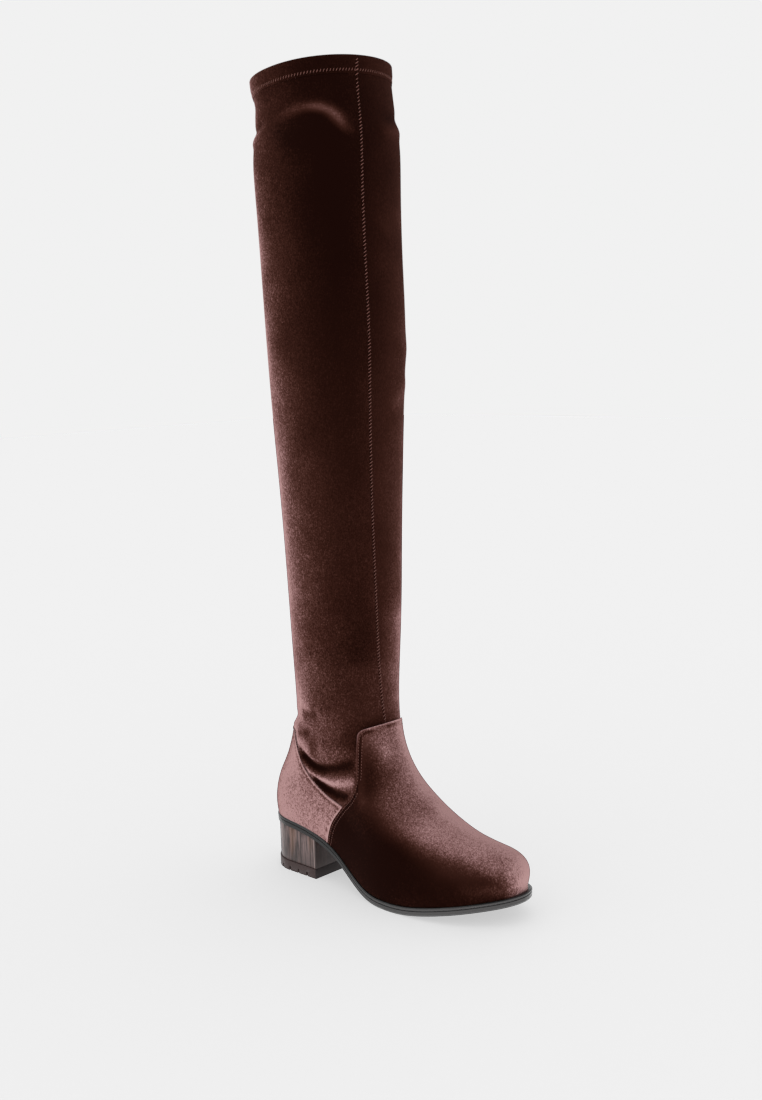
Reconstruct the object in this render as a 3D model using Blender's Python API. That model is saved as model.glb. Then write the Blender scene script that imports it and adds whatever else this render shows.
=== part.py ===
"""A thigh high boot for the right foot, with a stacked block heel.

Metres, +Z up, the toe towards +X and the inner side of the foot towards +Y. The origin is
the middle of the heel, on the floor. The upper is a tube of level rings that run from the
feather edge, where it meets the sole, to the collar. Each ring is read from one function of
the last, so the overlays, the insole and the sole follow the same sizes.
"""

import math

import bmesh
import bpy
import numpy as np
from mathutils import Matrix

# Sole and heel
SOLE_LENGTH = 0.252
HEEL_BEHIND = 0.0300  # from the origin back to the sole's rear edge
BALL_WIDTH = 0.0860
SEAT_WIDTH = 0.0590
TOE_CENTRE = 0.0105  # how far the tip lies towards the inner side
TOE_LENGTH = 0.0740  # the part of the outline that closes round the toe
REAR_LENGTH = 0.0290  # the part of the outline that closes round the heel
HEEL_HEIGHT = 0.0390
TOE_SPRING = 0.0165
SOLE_THICK = 0.0066
SOLE_LIP = 0.0030  # the sole beyond the upper's feather edge, round the forepart
SEAT_LIP = 0.0018  # and round the heel
RIB_HEIGHT = 0.0019
RIB_DEPTH = 0.0007
GROOVE_HEIGHT = 0.0007
SOLE_ROUND = 0.0009
BREAST_AHEAD = 0.0315  # from the origin forward to the heel's front face
HEEL_INSET = 0.0007
LIFT_HEIGHT = 0.0080
NOTCH_WIDTH = 0.0018
NOTCH_HEIGHT = 0.0032
NOTCH_DEPTH = 0.0014
NOTCH_PITCH = 0.0105
INSOLE_THICK = 0.0025
INSOLE_CLEAR = 0.0020

# Upper
WALL = 0.0018
COLLAR_HEIGHT = 0.6539
COLLAR_TILT = 0.113  # rise to the front for each metre of depth
ANKLE_HEIGHT = 0.1450
ANKLE_DEPTH = 0.0985
ANKLE_WIDTH = 0.0690
CALF_WIDTH = 0.1080
SHAFT_CENTRE = 0.0415  # the shaft's middle, ahead of the origin
SHAFT_SIDE = 0.0050  # and towards the inner side
FEATHER_BULGE = 0.0018
OVERLAY = 0.0012
HEM_HEIGHT = 0.0135
SEAM_WIDTH = 0.0034
SEAM_RISE = 0.0009
GAP = 0.0003

# How the forms run into each other. Each pair is where one form starts to give way and
# where the next has taken over.
TOE_POWER = 2.25  # 2 closes an outline in an ellipse, more is blunter
REAR_POWER = 2.05
SEAT_BLEND = (0.23, 0.35)  # the seat's width into the waist's, in shares of SOLE_LENGTH
LIP_BLEND = (0.15, 0.35)  # SEAT_LIP into SOLE_LIP, in the same shares
SIDE_BLEND = (0.42, 1.00)  # the foot's plan into the shaft's, in shares of ANKLE_HEIGHT
FRONT_BLEND = (0.76, 1.16)  # the last's front rounding into the shaft's, in the same shares
BACK_BLEND = (0.42, 1.02)  # and the back's
GIRTH_BLEND = (1.00, 2.50)  # the ankle's girth into the table of the shaft, in the same shares
TILT_BLEND = (0.70, 1.00)  # level rings into the collar's tilt, in shares of the shaft
BULGE_REACH = 0.30  # how far up FEATHER_BULGE goes, as a share of ANKLE_HEIGHT
PAST_COLLAR = 1.03  # where the side lines end, so that the tilted rim lies within them
BEYOND = 0.1  # how far outside the boot a search or a cutter reaches, of SOLE_LENGTH

# How finely the surfaces are divided
COLUMNS = 48
SOLE_STATIONS = 37
HEEL_STATIONS = 19
EDGE_POINTS = 15
CORNER_POINTS = 6
LINE_POINTS = 420
TIP_HALF = 0.0006  # the blunt ends of an outline's half, so that its two sides stay apart


def table(columns, *rows):
    names = columns.split()
    return {name: np.array([row[i] for row in rows]) for i, name in enumerate(names)}


# along and half are shares of SOLE_LENGTH and BALL_WIDTH / 2, centre of TOE_CENTRE,
# lift of HEEL_HEIGHT and spring of TOE_SPRING
SOLE = table(
    "along half centre lift spring",
    (0.000, 0.686, 0.00, 1.020, 0.00),
    (0.120, 0.686, 0.00, 0.985, 0.00),
    (0.190, 0.680, -0.02, 0.930, 0.00),
    (0.250, 0.672, -0.05, 0.845, 0.00),
    (0.310, 0.672, -0.10, 0.710, 0.00),
    (0.365, 0.690, -0.16, 0.520, 0.00),
    (0.420, 0.735, -0.20, 0.290, 0.00),
    (0.480, 0.820, -0.18, 0.090, 0.00),
    (0.535, 0.915, -0.10, 0.012, 0.00),
    (0.575, 0.970, 0.00, 0.000, 0.00),
    (0.645, 1.000, 0.10, 0.000, 0.00),
    (0.710, 1.000, 0.22, 0.000, 0.12),
    (0.780, 0.985, 0.42, 0.000, 0.31),
    (0.855, 0.960, 0.62, 0.000, 0.54),
    (0.925, 0.940, 0.82, 0.000, 0.77),
    (1.000, 0.930, 1.00, 0.000, 1.00),
)

# The line over the toe, the vamp and the instep: ahead is a share of SOLE_LENGTH from the
# sole's rear edge, rise of ANKLE_HEIGHT
RIDGE = table(
    "ahead rise",
    (0.980, 0.165),
    (0.987, 0.214),
    (0.984, 0.266),
    (0.964, 0.317),
    (0.927, 0.355),
    (0.873, 0.376),
    (0.794, 0.403),
    (0.710, 0.466),
    (0.635, 0.548),
    (0.573, 0.645),
    (0.526, 0.752),
    (0.492, 0.869),
    (0.478, 1.000),
)

# The line up the back of the heel, in the same shares
BACK = table(
    "ahead rise",
    (0.0100, 0.250),
    (0.0068, 0.315),
    (0.0040, 0.385),
    (0.0080, 0.455),
    (0.024, 0.580),
    (0.056, 0.700),
    (0.078, 0.830),
    (0.087, 0.930),
)

# The shaft: up is a share of the way from ANKLE_HEIGHT to COLLAR_HEIGHT, centre of
# SHAFT_CENTRE, depth and width of CALF_WIDTH
SHAFT = table(
    "up centre depth width",
    (0.000, 0.990, 0.912, 0.639),
    (0.060, 0.995, 0.908, 0.676),
    (0.126, 1.017, 0.926, 0.733),
    (0.194, 1.029, 0.935, 0.780),
    (0.259, 1.024, 0.944, 0.809),
    (0.324, 1.022, 0.954, 0.843),
    (0.389, 1.019, 0.972, 0.893),
    (0.452, 1.002, 0.991, 0.930),
    (0.515, 1.012, 1.028, 0.970),
    (0.579, 1.036, 1.056, 1.011),
    (0.642, 1.019, 1.065, 1.024),
    (0.705, 0.976, 1.065, 1.017),
    (0.766, 0.945, 1.065, 1.024),
    (0.827, 0.942, 1.083, 1.043),
    (0.880, 0.940, 1.096, 1.062),
    (0.905, 0.955, 1.064, 1.030),
    (0.930, 0.960, 1.024, 0.996),
    (0.965, 0.900, 1.020, 1.004),
    (1.000, 0.853, 1.010, 1.010),
)

# How round the last is behind the toe and under its ridge: radius is a share of BALL_WIDTH,
# rise of ANKLE_HEIGHT, and from TOE_LENGTH at the sole it shrinks with height
ROUNDING = table(
    "rise radius",
    (0.17, 0.83),
    (0.25, 0.70),
    (0.32, 0.56),
    (0.38, 0.48),
    (0.46, 0.50),
    (0.60, 0.58),
    (0.80, 0.60),
    (1.00, 0.57),
)

# Heights of the rings: foot is in shares of the way from feather edge to ankle, shaft in
# shares of the way from ankle to hem
FOOT_LEVELS = (0.0, 0.028, 0.075, 0.13, 0.18, 0.225, 0.265, 0.30, 0.34, 0.385, 0.445, 0.52,
               0.60, 0.69, 0.79, 0.90)
SHAFT_LEVELS = (0.0, 0.045, 0.11, 0.19, 0.29, 0.40, 0.51, 0.62, 0.73, 0.83, 0.895, 0.925,
                0.955, 1.0)

# The vamp's edge on the side of the foot, from the sole up to its corner: ahead is a share
# of SOLE_LENGTH from the rear edge, rise of ANKLE_HEIGHT
VAMP_EDGE = table(
    "ahead rise",
    (0.290, 0.170),
    (0.315, 0.305),
    (0.342, 0.398),
    (0.388, 0.495),
    (0.420, 0.545),
    (0.439, 0.595),
    (0.444, 0.660),
    (0.439, 0.730),
    (0.431, 0.830),
)
VAMP_CORNER = (0.429, 0.932)
VAMP_FRONT = (0.500, 0.975)
CORNER_ROUND = 0.036

# The counter's top edge, from the middle of the back to the vamp, in the same shares
COUNTER_EDGE = table(
    "ahead rise",
    (-0.080, 0.862),
    (0.070, 0.860),
    (0.110, 0.850),
    (0.147, 0.813),
    (0.176, 0.736),
    (0.207, 0.657),
    (0.253, 0.581),
    (0.313, 0.522),
    (0.379, 0.488),
)

# How far the front seam lies round to the outer side, in degrees, on the way up the shaft
SEAM_TURN = table(
    "up turn",
    (0.00, 7.6),
    (0.04, 10.0),
    (0.10, 12.6),
    (0.20, 14.6),
    (0.35, 16.4),
    (0.60, 17.2),
    (0.88, 18.0),
    (1.00, 16.0),
)


def smooth_read(rows, at, key, values):
    """A smooth curve through a table's rows."""
    x = rows[key]
    y = rows[values]
    at = np.clip(np.asarray(at, float), x[0], x[-1])
    slope = np.diff(y) / np.diff(x)
    tangent = np.empty_like(y)
    tangent[0] = slope[0]
    tangent[-1] = slope[-1]
    step = np.diff(x)
    tangent[1:-1] = (slope[:-1] * step[1:] + slope[1:] * step[:-1]) / (step[1:] + step[:-1])
    i = np.clip(np.searchsorted(x, at) - 1, 0, len(x) - 2)
    h = step[i]
    t = (at - x[i]) / h
    low = (2 * t**3 - 3 * t**2 + 1) * y[i] + (t**3 - 2 * t**2 + t) * h * tangent[i]
    high = (3 * t**2 - 2 * t**3) * y[i + 1] + (t**3 - t**2) * h * tangent[i + 1]
    return low + high


def blend(at, span):
    """Nought before a span, one after it, and smooth in between."""
    t = np.clip((at - span[0]) / (span[1] - span[0]), 0.0, 1.0)
    return t * t * (3 - 2 * t)


def along(x):
    return (np.asarray(x, float) + HEEL_BEHIND) / SOLE_LENGTH


def from_rear(share):
    return np.asarray(share, float) * SOLE_LENGTH - HEEL_BEHIND


def sole_underside(x):
    lift = smooth_read(SOLE, along(x), "along", "lift")
    spring = smooth_read(SOLE, along(x), "along", "spring")
    return np.maximum(HEEL_HEIGHT * lift + TOE_SPRING * spring, 0.0)


def sole_top(x):
    return sole_underside(x) + SOLE_THICK


def seat_height():
    return float(sole_top(0.0)) + GAP


def plan_centre(x):
    return TOE_CENTRE * smooth_read(SOLE, along(x), "along", "centre")


def plan_half(x):
    share = blend(along(x), SEAT_BLEND)
    half = BALL_WIDTH / 2 * smooth_read(SOLE, along(x), "along", "half")
    return SEAT_WIDTH / 2 * (1 - share) + half * share


def toe_closing(x, inset):
    tip = float(from_rear(1.0)) - inset
    reach = np.clip((x - (tip - TOE_LENGTH + inset)) / (TOE_LENGTH - inset), 0.0, None)
    return reach**TOE_POWER


def rear_closing(x, inset):
    rear = float(from_rear(0.0)) + inset
    reach = np.clip((rear + REAR_LENGTH - inset - x) / (REAR_LENGTH - inset), 0.0, None)
    return reach**REAR_POWER


def outline(inset, count):
    """Half the sole's outline from rear to tip: x, the centre line and the half width."""
    turn = np.linspace(0.0, math.pi, count)
    rear = float(from_rear(0.0)) + inset
    tip = float(from_rear(1.0)) - inset
    x = rear + (tip - rear) * (1 - np.cos(turn)) / 2
    room = np.clip(1 - toe_closing(x, inset) - rear_closing(x, inset), 0.0, None)
    return x, plan_centre(x), (plan_half(x) - inset) * np.sqrt(room)


def shaft_read(z, column):
    up = (np.asarray(z, float) - ANKLE_HEIGHT) / (COLLAR_HEIGHT - ANKLE_HEIGHT)
    return smooth_read(SHAFT, up, "up", column)


def shaft_girth(z, column, ankle):
    share = blend(z / ANKLE_HEIGHT, GIRTH_BLEND)
    fit = ankle / (CALF_WIDTH * SHAFT[column][0])
    return CALF_WIDTH * shaft_read(z, column) * (fit * (1 - share) + share)


def shaft_depth(z):
    return shaft_girth(z, "depth", ANKLE_DEPTH)


def shaft_width(z):
    return shaft_girth(z, "width", ANKLE_WIDTH)


def shaft_centre(z):
    return SHAFT_CENTRE * shaft_read(z, "centre")


def side_line(rows, sign):
    """The front or back line seen from the side, from the feather edge past the collar."""
    low = np.stack([from_rear(rows["ahead"]), rows["rise"] * ANKLE_HEIGHT], axis=1)
    reach = COLLAR_HEIGHT - ANKLE_HEIGHT
    z = ANKLE_HEIGHT + reach * np.append(SHAFT["up"][1:], PAST_COLLAR)
    high = np.stack([shaft_centre(z) + sign * shaft_depth(z) / 2, z], axis=1)
    points = np.concatenate([low, high])
    run = np.concatenate([[0.0], np.cumsum(np.hypot(*np.diff(points, axis=0).T))])
    line = {"run": run, "x": points[:, 0], "z": points[:, 1]}
    at = np.linspace(0.0, run[-1], LINE_POINTS)
    return np.stack([smooth_read(line, at, "run", axis) for axis in ("x", "z")], axis=1)


RIDGE_LINE = side_line(RIDGE, 1)
BACK_LINE = side_line(BACK, -1)


def nearest(line, x, z):
    """How far points lie from a side line, and the height of the nearest place on it."""
    points = np.stack([np.ravel(x), np.ravel(z)], axis=1)
    start = line[:-1]
    step = line[1:] - start
    length = (step**2).sum(axis=1)
    far = np.empty(len(points))
    height = np.empty(len(points))
    for first in range(0, len(points), 400):
        some = points[first : first + 400]
        t = ((some[:, None] - start) * step).sum(axis=2) / length
        foot = start + np.clip(t, 0.0, 1.0)[..., None] * step
        apart = np.hypot(some[:, None, 0] - foot[..., 0], some[:, None, 1] - foot[..., 1])
        best = apart.argmin(axis=1)
        row = np.arange(len(some))
        far[first : first + 400] = apart[row, best]
        height[first : first + 400] = foot[row, best, 1]
    return far.reshape(np.shape(x)), height.reshape(np.shape(x))


def behind_ridge(x, z):
    order = np.argsort(RIDGE_LINE[:, 1])
    edge = np.interp(z, RIDGE_LINE[order, 1], RIDGE_LINE[order, 0])
    return x <= edge


def ahead_of_back(x, z):
    order = np.argsort(BACK_LINE[:, 1])
    return x >= np.interp(z, BACK_LINE[order, 1], BACK_LINE[order, 0])


def room(x, z):
    """One in the middle of the last, nought on its side outline, less beyond it."""
    front, front_z = nearest(RIDGE_LINE, x, z)
    back, back_z = nearest(BACK_LINE, x, z)
    front = np.where(behind_ridge(x, z), front, -front)
    back = np.where(ahead_of_back(x, z), back, -back)
    share = blend(front_z / ANKLE_HEIGHT, FRONT_BLEND)
    last_radius = BALL_WIDTH * smooth_read(ROUNDING, z / ANKLE_HEIGHT, "rise", "radius")
    front_radius = last_radius * (1 - share) + shaft_depth(front_z) / 2 * share
    share = blend(back_z / ANKLE_HEIGHT, BACK_BLEND)
    seat_radius = REAR_LENGTH - SEAT_LIP
    back_radius = seat_radius * (1 - share) + shaft_depth(back_z) / 2 * share
    over = np.clip(1 - front / front_radius, 0.0, None) ** TOE_POWER
    rear = np.clip(1 - back / back_radius, 0.0, None) ** REAR_POWER
    return 1 - over - rear


def side_reach(x, z):
    """The centre line and half width of the last at a point of its side view."""
    share = blend(z / ANKLE_HEIGHT, SIDE_BLEND)
    centre = plan_centre(x) * (1 - share) + SHAFT_SIDE * share
    forepart = blend(along(x), LIP_BLEND)
    feather = plan_half(x) - SEAT_LIP * (1 - forepart) - SOLE_LIP * forepart
    half = feather * (1 - share) + shaft_width(z) / 2 * share
    above = np.clip((z - sole_top(x)) / (BULGE_REACH * ANKLE_HEIGHT), 0.0, 1.0)
    half = half + FEATHER_BULGE * np.sin(math.pi * above) * (1 - share)
    return centre, half * np.sqrt(np.clip(room(x, z), 0.0, None))


def foot_span():
    return ANKLE_HEIGHT - seat_height()


def level_height(level, x):
    """The height of a ring at x: levels 0 to 1 climb the foot, 1 to 2 the shaft."""
    x = np.asarray(x, float)
    if level <= 1.0:
        share = blend(level, (0.0, 1.0))
        base = (sole_top(x) + GAP) * (1 - share) + seat_height() * share
        return level * foot_span() + base
    up = level - 1.0
    tilt = COLLAR_TILT * blend(up, TILT_BLEND)
    middle = ANKLE_HEIGHT + up * (COLLAR_HEIGHT - ANKLE_HEIGHT)
    return middle + tilt * (x - SHAFT_CENTRE * SHAFT["centre"][-1])


def crossing(level, inside, outside):
    """Where a ring leaves the last between a place inside it and one outside."""
    for _ in range(6):
        x = np.linspace(inside, outside, 9)
        first = int(np.argmax(room(x, level_height(level, x)) <= 0))
        inside, outside = x[first - 1], x[first]
    return (inside + outside) / 2


def ring_ends(level):
    """Where a ring crosses the back line and the ridge."""
    x = np.linspace(float(from_rear(-BEYOND)), float(from_rear(1 + BEYOND)), 121)
    left = room(x, level_height(level, x))
    middle = int(np.searchsorted(x, BREAST_AHEAD))
    front = middle + int(np.argmax(left[middle:] <= 0))
    back = middle - int(np.argmax(left[middle::-1] <= 0))
    return crossing(level, x[back + 1], x[back]), crossing(level, x[front - 1], x[front])


ENDS = {}


def ends_of(level):
    key = round(float(level), 6)
    if key not in ENDS:
        ENDS[key] = ring_ends(key)
    return ENDS[key]


def on_last(level, turn):
    """Points of the last's surface: turn runs 0 at the back, 0.5 at the front, 1 back."""
    turn = np.asarray(turn, float)
    behind, ahead = ends_of(level)
    x = behind + (ahead - behind) * (1 - np.cos(2 * math.pi * turn)) / 2
    z = level_height(level, x)
    centre, half = side_reach(x, z)
    side = np.where(turn % 1.0 <= 0.5, -1.0, 1.0)
    ends = np.isclose(turn % 0.5, 0.0)
    y = np.where(ends, centre, centre + side * half)
    return np.stack([x, y, z], axis=-1)


def grid_normals(grid, closed):
    """Outward normals of a grid of points: rows go up, columns go round by the outer side."""
    if closed:
        round_step = np.roll(grid, -1, axis=1) - np.roll(grid, 1, axis=1)
    else:
        round_step = np.gradient(grid, axis=1)
    up_step = np.gradient(grid, axis=0)
    normal = np.cross(round_step, up_step)
    return normal / np.linalg.norm(normal, axis=2, keepdims=True)


def hem_bottom():
    return 2.0 - HEM_HEIGHT / (COLLAR_HEIGHT - ANKLE_HEIGHT)


def levels():
    reach = hem_bottom() - 1.0
    return [*FOOT_LEVELS, *(1.0 + up * reach for up in SHAFT_LEVELS), 2.0]


def last_grid(rows):
    """Whole rings of the last at the given levels."""
    turns = np.arange(COLUMNS) / COLUMNS
    return np.array([on_last(level, turns) for level in rows])


def smooth_material(name, colour, roughness, sheen=0.0):
    material = bpy.data.materials.new(name)
    material.use_nodes = True
    shader = material.node_tree.nodes["Principled BSDF"]
    shader.inputs["Base Color"].default_value = (*colour, 1.0)
    shader.inputs["Roughness"].default_value = roughness
    shader.inputs["Metallic"].default_value = 0.0
    shader.inputs["Sheen Weight"].default_value = sheen
    return material


def closed_mesh(name, points, faces, triangles):
    """A mesh whose faces all point outwards."""
    mesh = bpy.data.meshes.new(name)
    mesh.from_pydata([tuple(map(float, point)) for point in points], [], faces)
    shaped = bmesh.new()
    shaped.from_mesh(mesh)
    bmesh.ops.recalc_face_normals(shaped, faces=shaped.faces)
    if triangles:
        bmesh.ops.triangulate(shaped, faces=shaped.faces)
    shaped.to_mesh(mesh)
    shaped.free()
    return mesh


def add_object(name, mesh):
    made = bpy.data.objects.new(name, mesh)
    bpy.context.scene.collection.objects.link(made)
    return made


def add_piece(name, points, faces, material):
    mesh = closed_mesh(name, points, faces, True)
    mesh.shade_smooth()
    mesh.set_sharp_from_angle(angle=math.radians(40))
    mesh.materials.append(material)
    return add_object(name, mesh)


def add_cutter(name, mesh):
    cutter = add_object(name, mesh)
    cutter.hide_render = True
    cutter.display_type = "WIRE"
    return cutter


def cut_with(piece, cutter, operation):
    cut = piece.modifiers.new(cutter.name, "BOOLEAN")
    cut.operation = operation
    cut.solver = "EXACT"
    cut.object = cutter


def wall_faces(rows, columns, closed):
    """Faces of a wall of two grids, the outer one first, with its edges closed."""
    number = np.arange(2 * rows * columns).reshape(2, rows, columns)
    if closed:
        number = np.concatenate([number, number[:, :, :1]], axis=2)
    faces = []
    for row in range(rows - 1):
        for column in range(number.shape[2] - 1):
            for side in (0, 1):
                low, high = number[side, row : row + 2, column : column + 2]
                faces.append([*low, *high[::-1]])
    ends = [number[:, row, :] for row in (0, -1)]
    if not closed:
        ends += [number[:, :, column] for column in (0, -1)]
    for outer, inner in ends:
        for i in range(len(outer) - 1):
            faces.append([outer[i], inner[i], inner[i + 1], outer[i + 1]])
    return faces


def upper():
    rows = levels()
    outer = last_grid(rows)
    inner = outer - WALL * grid_normals(outer, True)
    inner[0, :, 2] = sole_top(inner[0, :, 0]) + GAP
    inner[-1, :, 2] = level_height(rows[-1], inner[-1, :, 0])
    points = np.concatenate([outer.reshape(-1, 3), inner.reshape(-1, 3)])
    velvet = smooth_material("velvet", (0.055, 0.030, 0.027), 0.85, 0.6)
    return add_piece("upper", points, wall_faces(len(rows), COLUMNS, True), velvet)


def overlay_points(grid, closed, low, high):
    """An overlay on a grid of the last's surface, from one height above it to another."""
    normal = grid_normals(grid, closed)
    outer = grid + high * normal
    inner = grid + low * normal
    return np.concatenate([outer.reshape(-1, 3), inner.reshape(-1, 3)])


def foot_shell(name, material, height):
    """The foot's whole surface as a thin shell, for the vamp and counter to be cut from."""
    rows = [*FOOT_LEVELS, 1.0, 1.0 + SHAFT_LEVELS[1]]
    points = overlay_points(last_grid(rows), True, GAP, GAP + height)
    for first in (0, len(points) // 2):
        low = points[first : first + COLUMNS]
        low[:, 2] = sole_top(low[:, 0]) + GAP
    return add_piece(name, points, wall_faces(len(rows), COLUMNS, True), material)


def side_cutter(name, outline_points):
    """A prism across the boot, from an outline seen from the side."""
    across = (-BALL_WIDTH, BALL_WIDTH)
    points = [(x, y, z) for y in across for x, z in outline_points]
    count = len(outline_points)
    faces = [list(range(count)), list(range(2 * count - 1, count - 1, -1))]
    for i in range(count):
        j = (i + 1) % count
        faces.append([i, i + count, j + count, j])
    return add_cutter(name, closed_mesh(name, points, faces, False))


def side_point(ahead, rise):
    return float(from_rear(ahead)), rise * ANKLE_HEIGHT


def edge_line(rows, shift=0.0):
    """Points along a side edge, shifted back towards the heel."""
    run = {"run": np.linspace(0.0, 1.0, len(rows["ahead"])), **rows}
    at = np.linspace(0.0, 1.0, EDGE_POINTS)
    ahead = smooth_read(run, at, "run", "ahead")
    rise = smooth_read(run, at, "run", "rise")
    return [(x - shift, z) for x, z in (side_point(a, r) for a, r in zip(ahead, rise))]


def rounded_corner(before, corner, after, size):
    """A curve that cuts a corner off."""
    corner = np.array(corner)
    start = np.array(before) - corner
    end = np.array(after) - corner
    start = corner + start / np.linalg.norm(start) * size
    end = corner + end / np.linalg.norm(end) * size
    t = np.linspace(0.0, 1.0, CORNER_POINTS)[:, None]
    curve = (1 - t) ** 2 * start + 2 * t * (1 - t) * corner + t**2 * end
    return [tuple(point) for point in curve.tolist()]


def vamp():
    edge = edge_line(VAMP_EDGE)
    corner = side_point(*VAMP_CORNER)
    front = side_point(*VAMP_FRONT)
    size = CORNER_ROUND * ANKLE_HEIGHT
    beyond = float(from_rear(1 + BEYOND))
    shape = [*edge, *rounded_corner(edge[-1], corner, front, size), front]
    shape += [(beyond, front[1]), (beyond, 0.0), (edge[0][0], 0.0)]
    velvet = smooth_material("vamp_velvet", (0.060, 0.033, 0.030), 0.85, 0.6)
    piece = foot_shell("vamp", velvet, OVERLAY)
    cut_with(piece, side_cutter("vamp_outline", shape), "INTERSECT")
    return piece


def counter():
    """It runs round the back of the foot from one edge of the vamp to the other."""
    meet = side_point(COUNTER_EDGE["ahead"][-1], COUNTER_EDGE["rise"][-1])
    side = [point for point in edge_line(VAMP_EDGE, 2 * GAP) if point[1] < meet[1] - GAP]
    top = edge_line(COUNTER_EDGE, 2 * GAP)
    behind = float(from_rear(-BEYOND))
    shape = [(behind, 0.0), (side[0][0], 0.0), *side, *reversed(top), (behind, top[0][1])]
    velvet = smooth_material("counter_velvet", (0.075, 0.043, 0.040), 0.85, 0.6)
    piece = foot_shell("counter", velvet, OVERLAY)
    cut_with(piece, side_cutter("counter_outline", shape), "INTERSECT")
    return piece


def collar_hem():
    rows = [hem_bottom(), 2.0]
    points = overlay_points(last_grid(rows), True, GAP, GAP + OVERLAY)
    velvet = smooth_material("hem_velvet", (0.050, 0.027, 0.024), 0.85, 0.6)
    return add_piece("collar_hem", points, wall_faces(len(rows), COLUMNS, True), velvet)


def seam_turn(level):
    """The turn of the front seam's middle, which lies a little to the outer side."""
    degrees = float(smooth_read(SEAM_TURN, level - 1.0, "up", "turn"))
    return 0.5 - degrees / 360.0


def front_seam():
    """The raised seam up the front of the shaft, from the vamp to the hem."""
    top = hem_bottom() - GAP / (COLLAR_HEIGHT - ANKLE_HEIGHT)
    rows = [level for level in levels() if 1.0 < level < top] + [top]
    grid = []
    for level in rows:
        turn = seam_turn(level)
        z = ANKLE_HEIGHT + (level - 1.0) * (COLLAR_HEIGHT - ANKLE_HEIGHT)
        around = math.pi * (shaft_depth(z) + shaft_width(z)) / 2
        reach = SEAM_WIDTH / 2 / float(around)
        grid.append(on_last(level, turn + reach * np.array([-1.0, 0.0, 1.0])))
    points = overlay_points(np.array(grid), False, GAP, GAP + SEAM_RISE)
    velvet = smooth_material("seam_velvet", (0.085, 0.050, 0.047), 0.85, 0.6)
    return add_piece("front_seam", points, wall_faces(len(rows), 3, False), velvet)


def strip_body(name, loops, material):
    """A closed body from loops that all hold the same stations.

    Each loop is (x, centre, half, z); its two sides mirror about the centre line, and the
    first and the last loop are closed from side to side.
    """
    sides = []
    for sign in (-1, 1):
        side = [np.stack([x, centre + sign * half, z], axis=1) for x, centre, half, z in loops]
        sides.append(np.array(side))
    rows, columns = len(loops), len(loops[0][0])
    points = np.array(sides).reshape(-1, 3)
    return add_piece(name, points, wall_faces(rows, columns, False), material)


def sole_loop(inset, height):
    x, centre, half = outline(inset, SOLE_STATIONS)
    return x, centre, np.maximum(half, TIP_HALF), height(x)


def outsole():
    """The sole with its welt-like rib, the groove under it and a rounded lower edge."""
    def under_top(drop):
        return lambda x: sole_top(x) - drop

    def over_floor(rise):
        return lambda x: sole_underside(x) + rise

    loops = [
        sole_loop(RIB_DEPTH, under_top(0.0)),
        sole_loop(0.0, under_top(RIB_DEPTH)),
        sole_loop(0.0, under_top(RIB_HEIGHT)),
        sole_loop(RIB_DEPTH, under_top(RIB_HEIGHT + RIB_DEPTH / 2)),
        sole_loop(RIB_DEPTH, under_top(RIB_HEIGHT + GROOVE_HEIGHT)),
        sole_loop(RIB_DEPTH / 4, under_top(RIB_HEIGHT + GROOVE_HEIGHT + RIB_DEPTH / 2)),
        sole_loop(RIB_DEPTH / 4, over_floor(SOLE_ROUND)),
        sole_loop(RIB_DEPTH / 4 + SOLE_ROUND, over_floor(0.0)),
    ]
    rubber = smooth_material("sole_rubber", (0.016, 0.016, 0.017), 0.45)
    return strip_body("outsole", loops, rubber)


def insole_loop(rise):
    """The upper's feather edge, drawn in by its wall and a clearance."""
    inset = WALL + INSOLE_CLEAR
    behind, ahead = ends_of(0.0)
    share = (1 - np.cos(np.linspace(0.0, math.pi, COLUMNS // 2 + 1))) / 2
    x = behind + (ahead - behind) * share
    centre, half = side_reach(x, sole_top(x))
    half = half * (1 - inset / (plan_half(x) - SOLE_LIP))
    x = behind + inset + (ahead - behind - 2 * inset) * share
    return x, centre, np.maximum(half, TIP_HALF), sole_top(x) + rise


def insole():
    loops = [insole_loop(GAP + INSOLE_THICK), insole_loop(GAP)]
    board = smooth_material("insole_lining", (0.055, 0.040, 0.035), 0.9)
    return strip_body("insole", loops, board)


def heel_loop(inset, height):
    """The heel's plan: the sole's rear outline, cut off square at the breast."""
    rear = float(from_rear(0.0)) + inset
    front = BREAST_AHEAD
    turn = np.linspace(0.0, math.pi / 2, HEEL_STATIONS)
    x = rear + (front - rear) * (1 - np.cos(turn))
    half = (plan_half(x) - inset) * np.sqrt(np.clip(1 - rear_closing(x, inset), 0.0, None))
    return x, plan_centre(x), np.maximum(half, TIP_HALF), height(x)


def flat(height):
    return lambda x: np.full_like(x, height)


def heel():
    """The stacked block, shaped to the sole above it and flat on the lift below."""
    def under_sole(x):
        return sole_underside(x) - GAP

    loops = [
        heel_loop(HEEL_INSET + RIB_DEPTH, under_sole),
        heel_loop(HEEL_INSET + RIB_DEPTH, flat(LIFT_HEIGHT + GAP)),
    ]
    stack = smooth_material("heel_stack", (0.115, 0.082, 0.072), 0.42)
    return strip_body("heel", loops, stack)


def notch_cutters(places):
    """Small upright blocks round the lift's lower edge."""
    shaped = bmesh.new()
    size = Matrix.Diagonal((2 * NOTCH_DEPTH, NOTCH_WIDTH, 2 * NOTCH_HEIGHT, 1.0))
    for x, y, turn in places:
        turned = Matrix.Translation((x, y, 0.0)) @ Matrix.Rotation(turn, 4, "Z")
        bmesh.ops.create_cube(shaped, size=1.0, matrix=turned @ size)
    mesh = bpy.data.meshes.new("notch_cutters")
    shaped.to_mesh(mesh)
    shaped.free()
    return add_cutter("notch_cutters", mesh)


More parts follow.
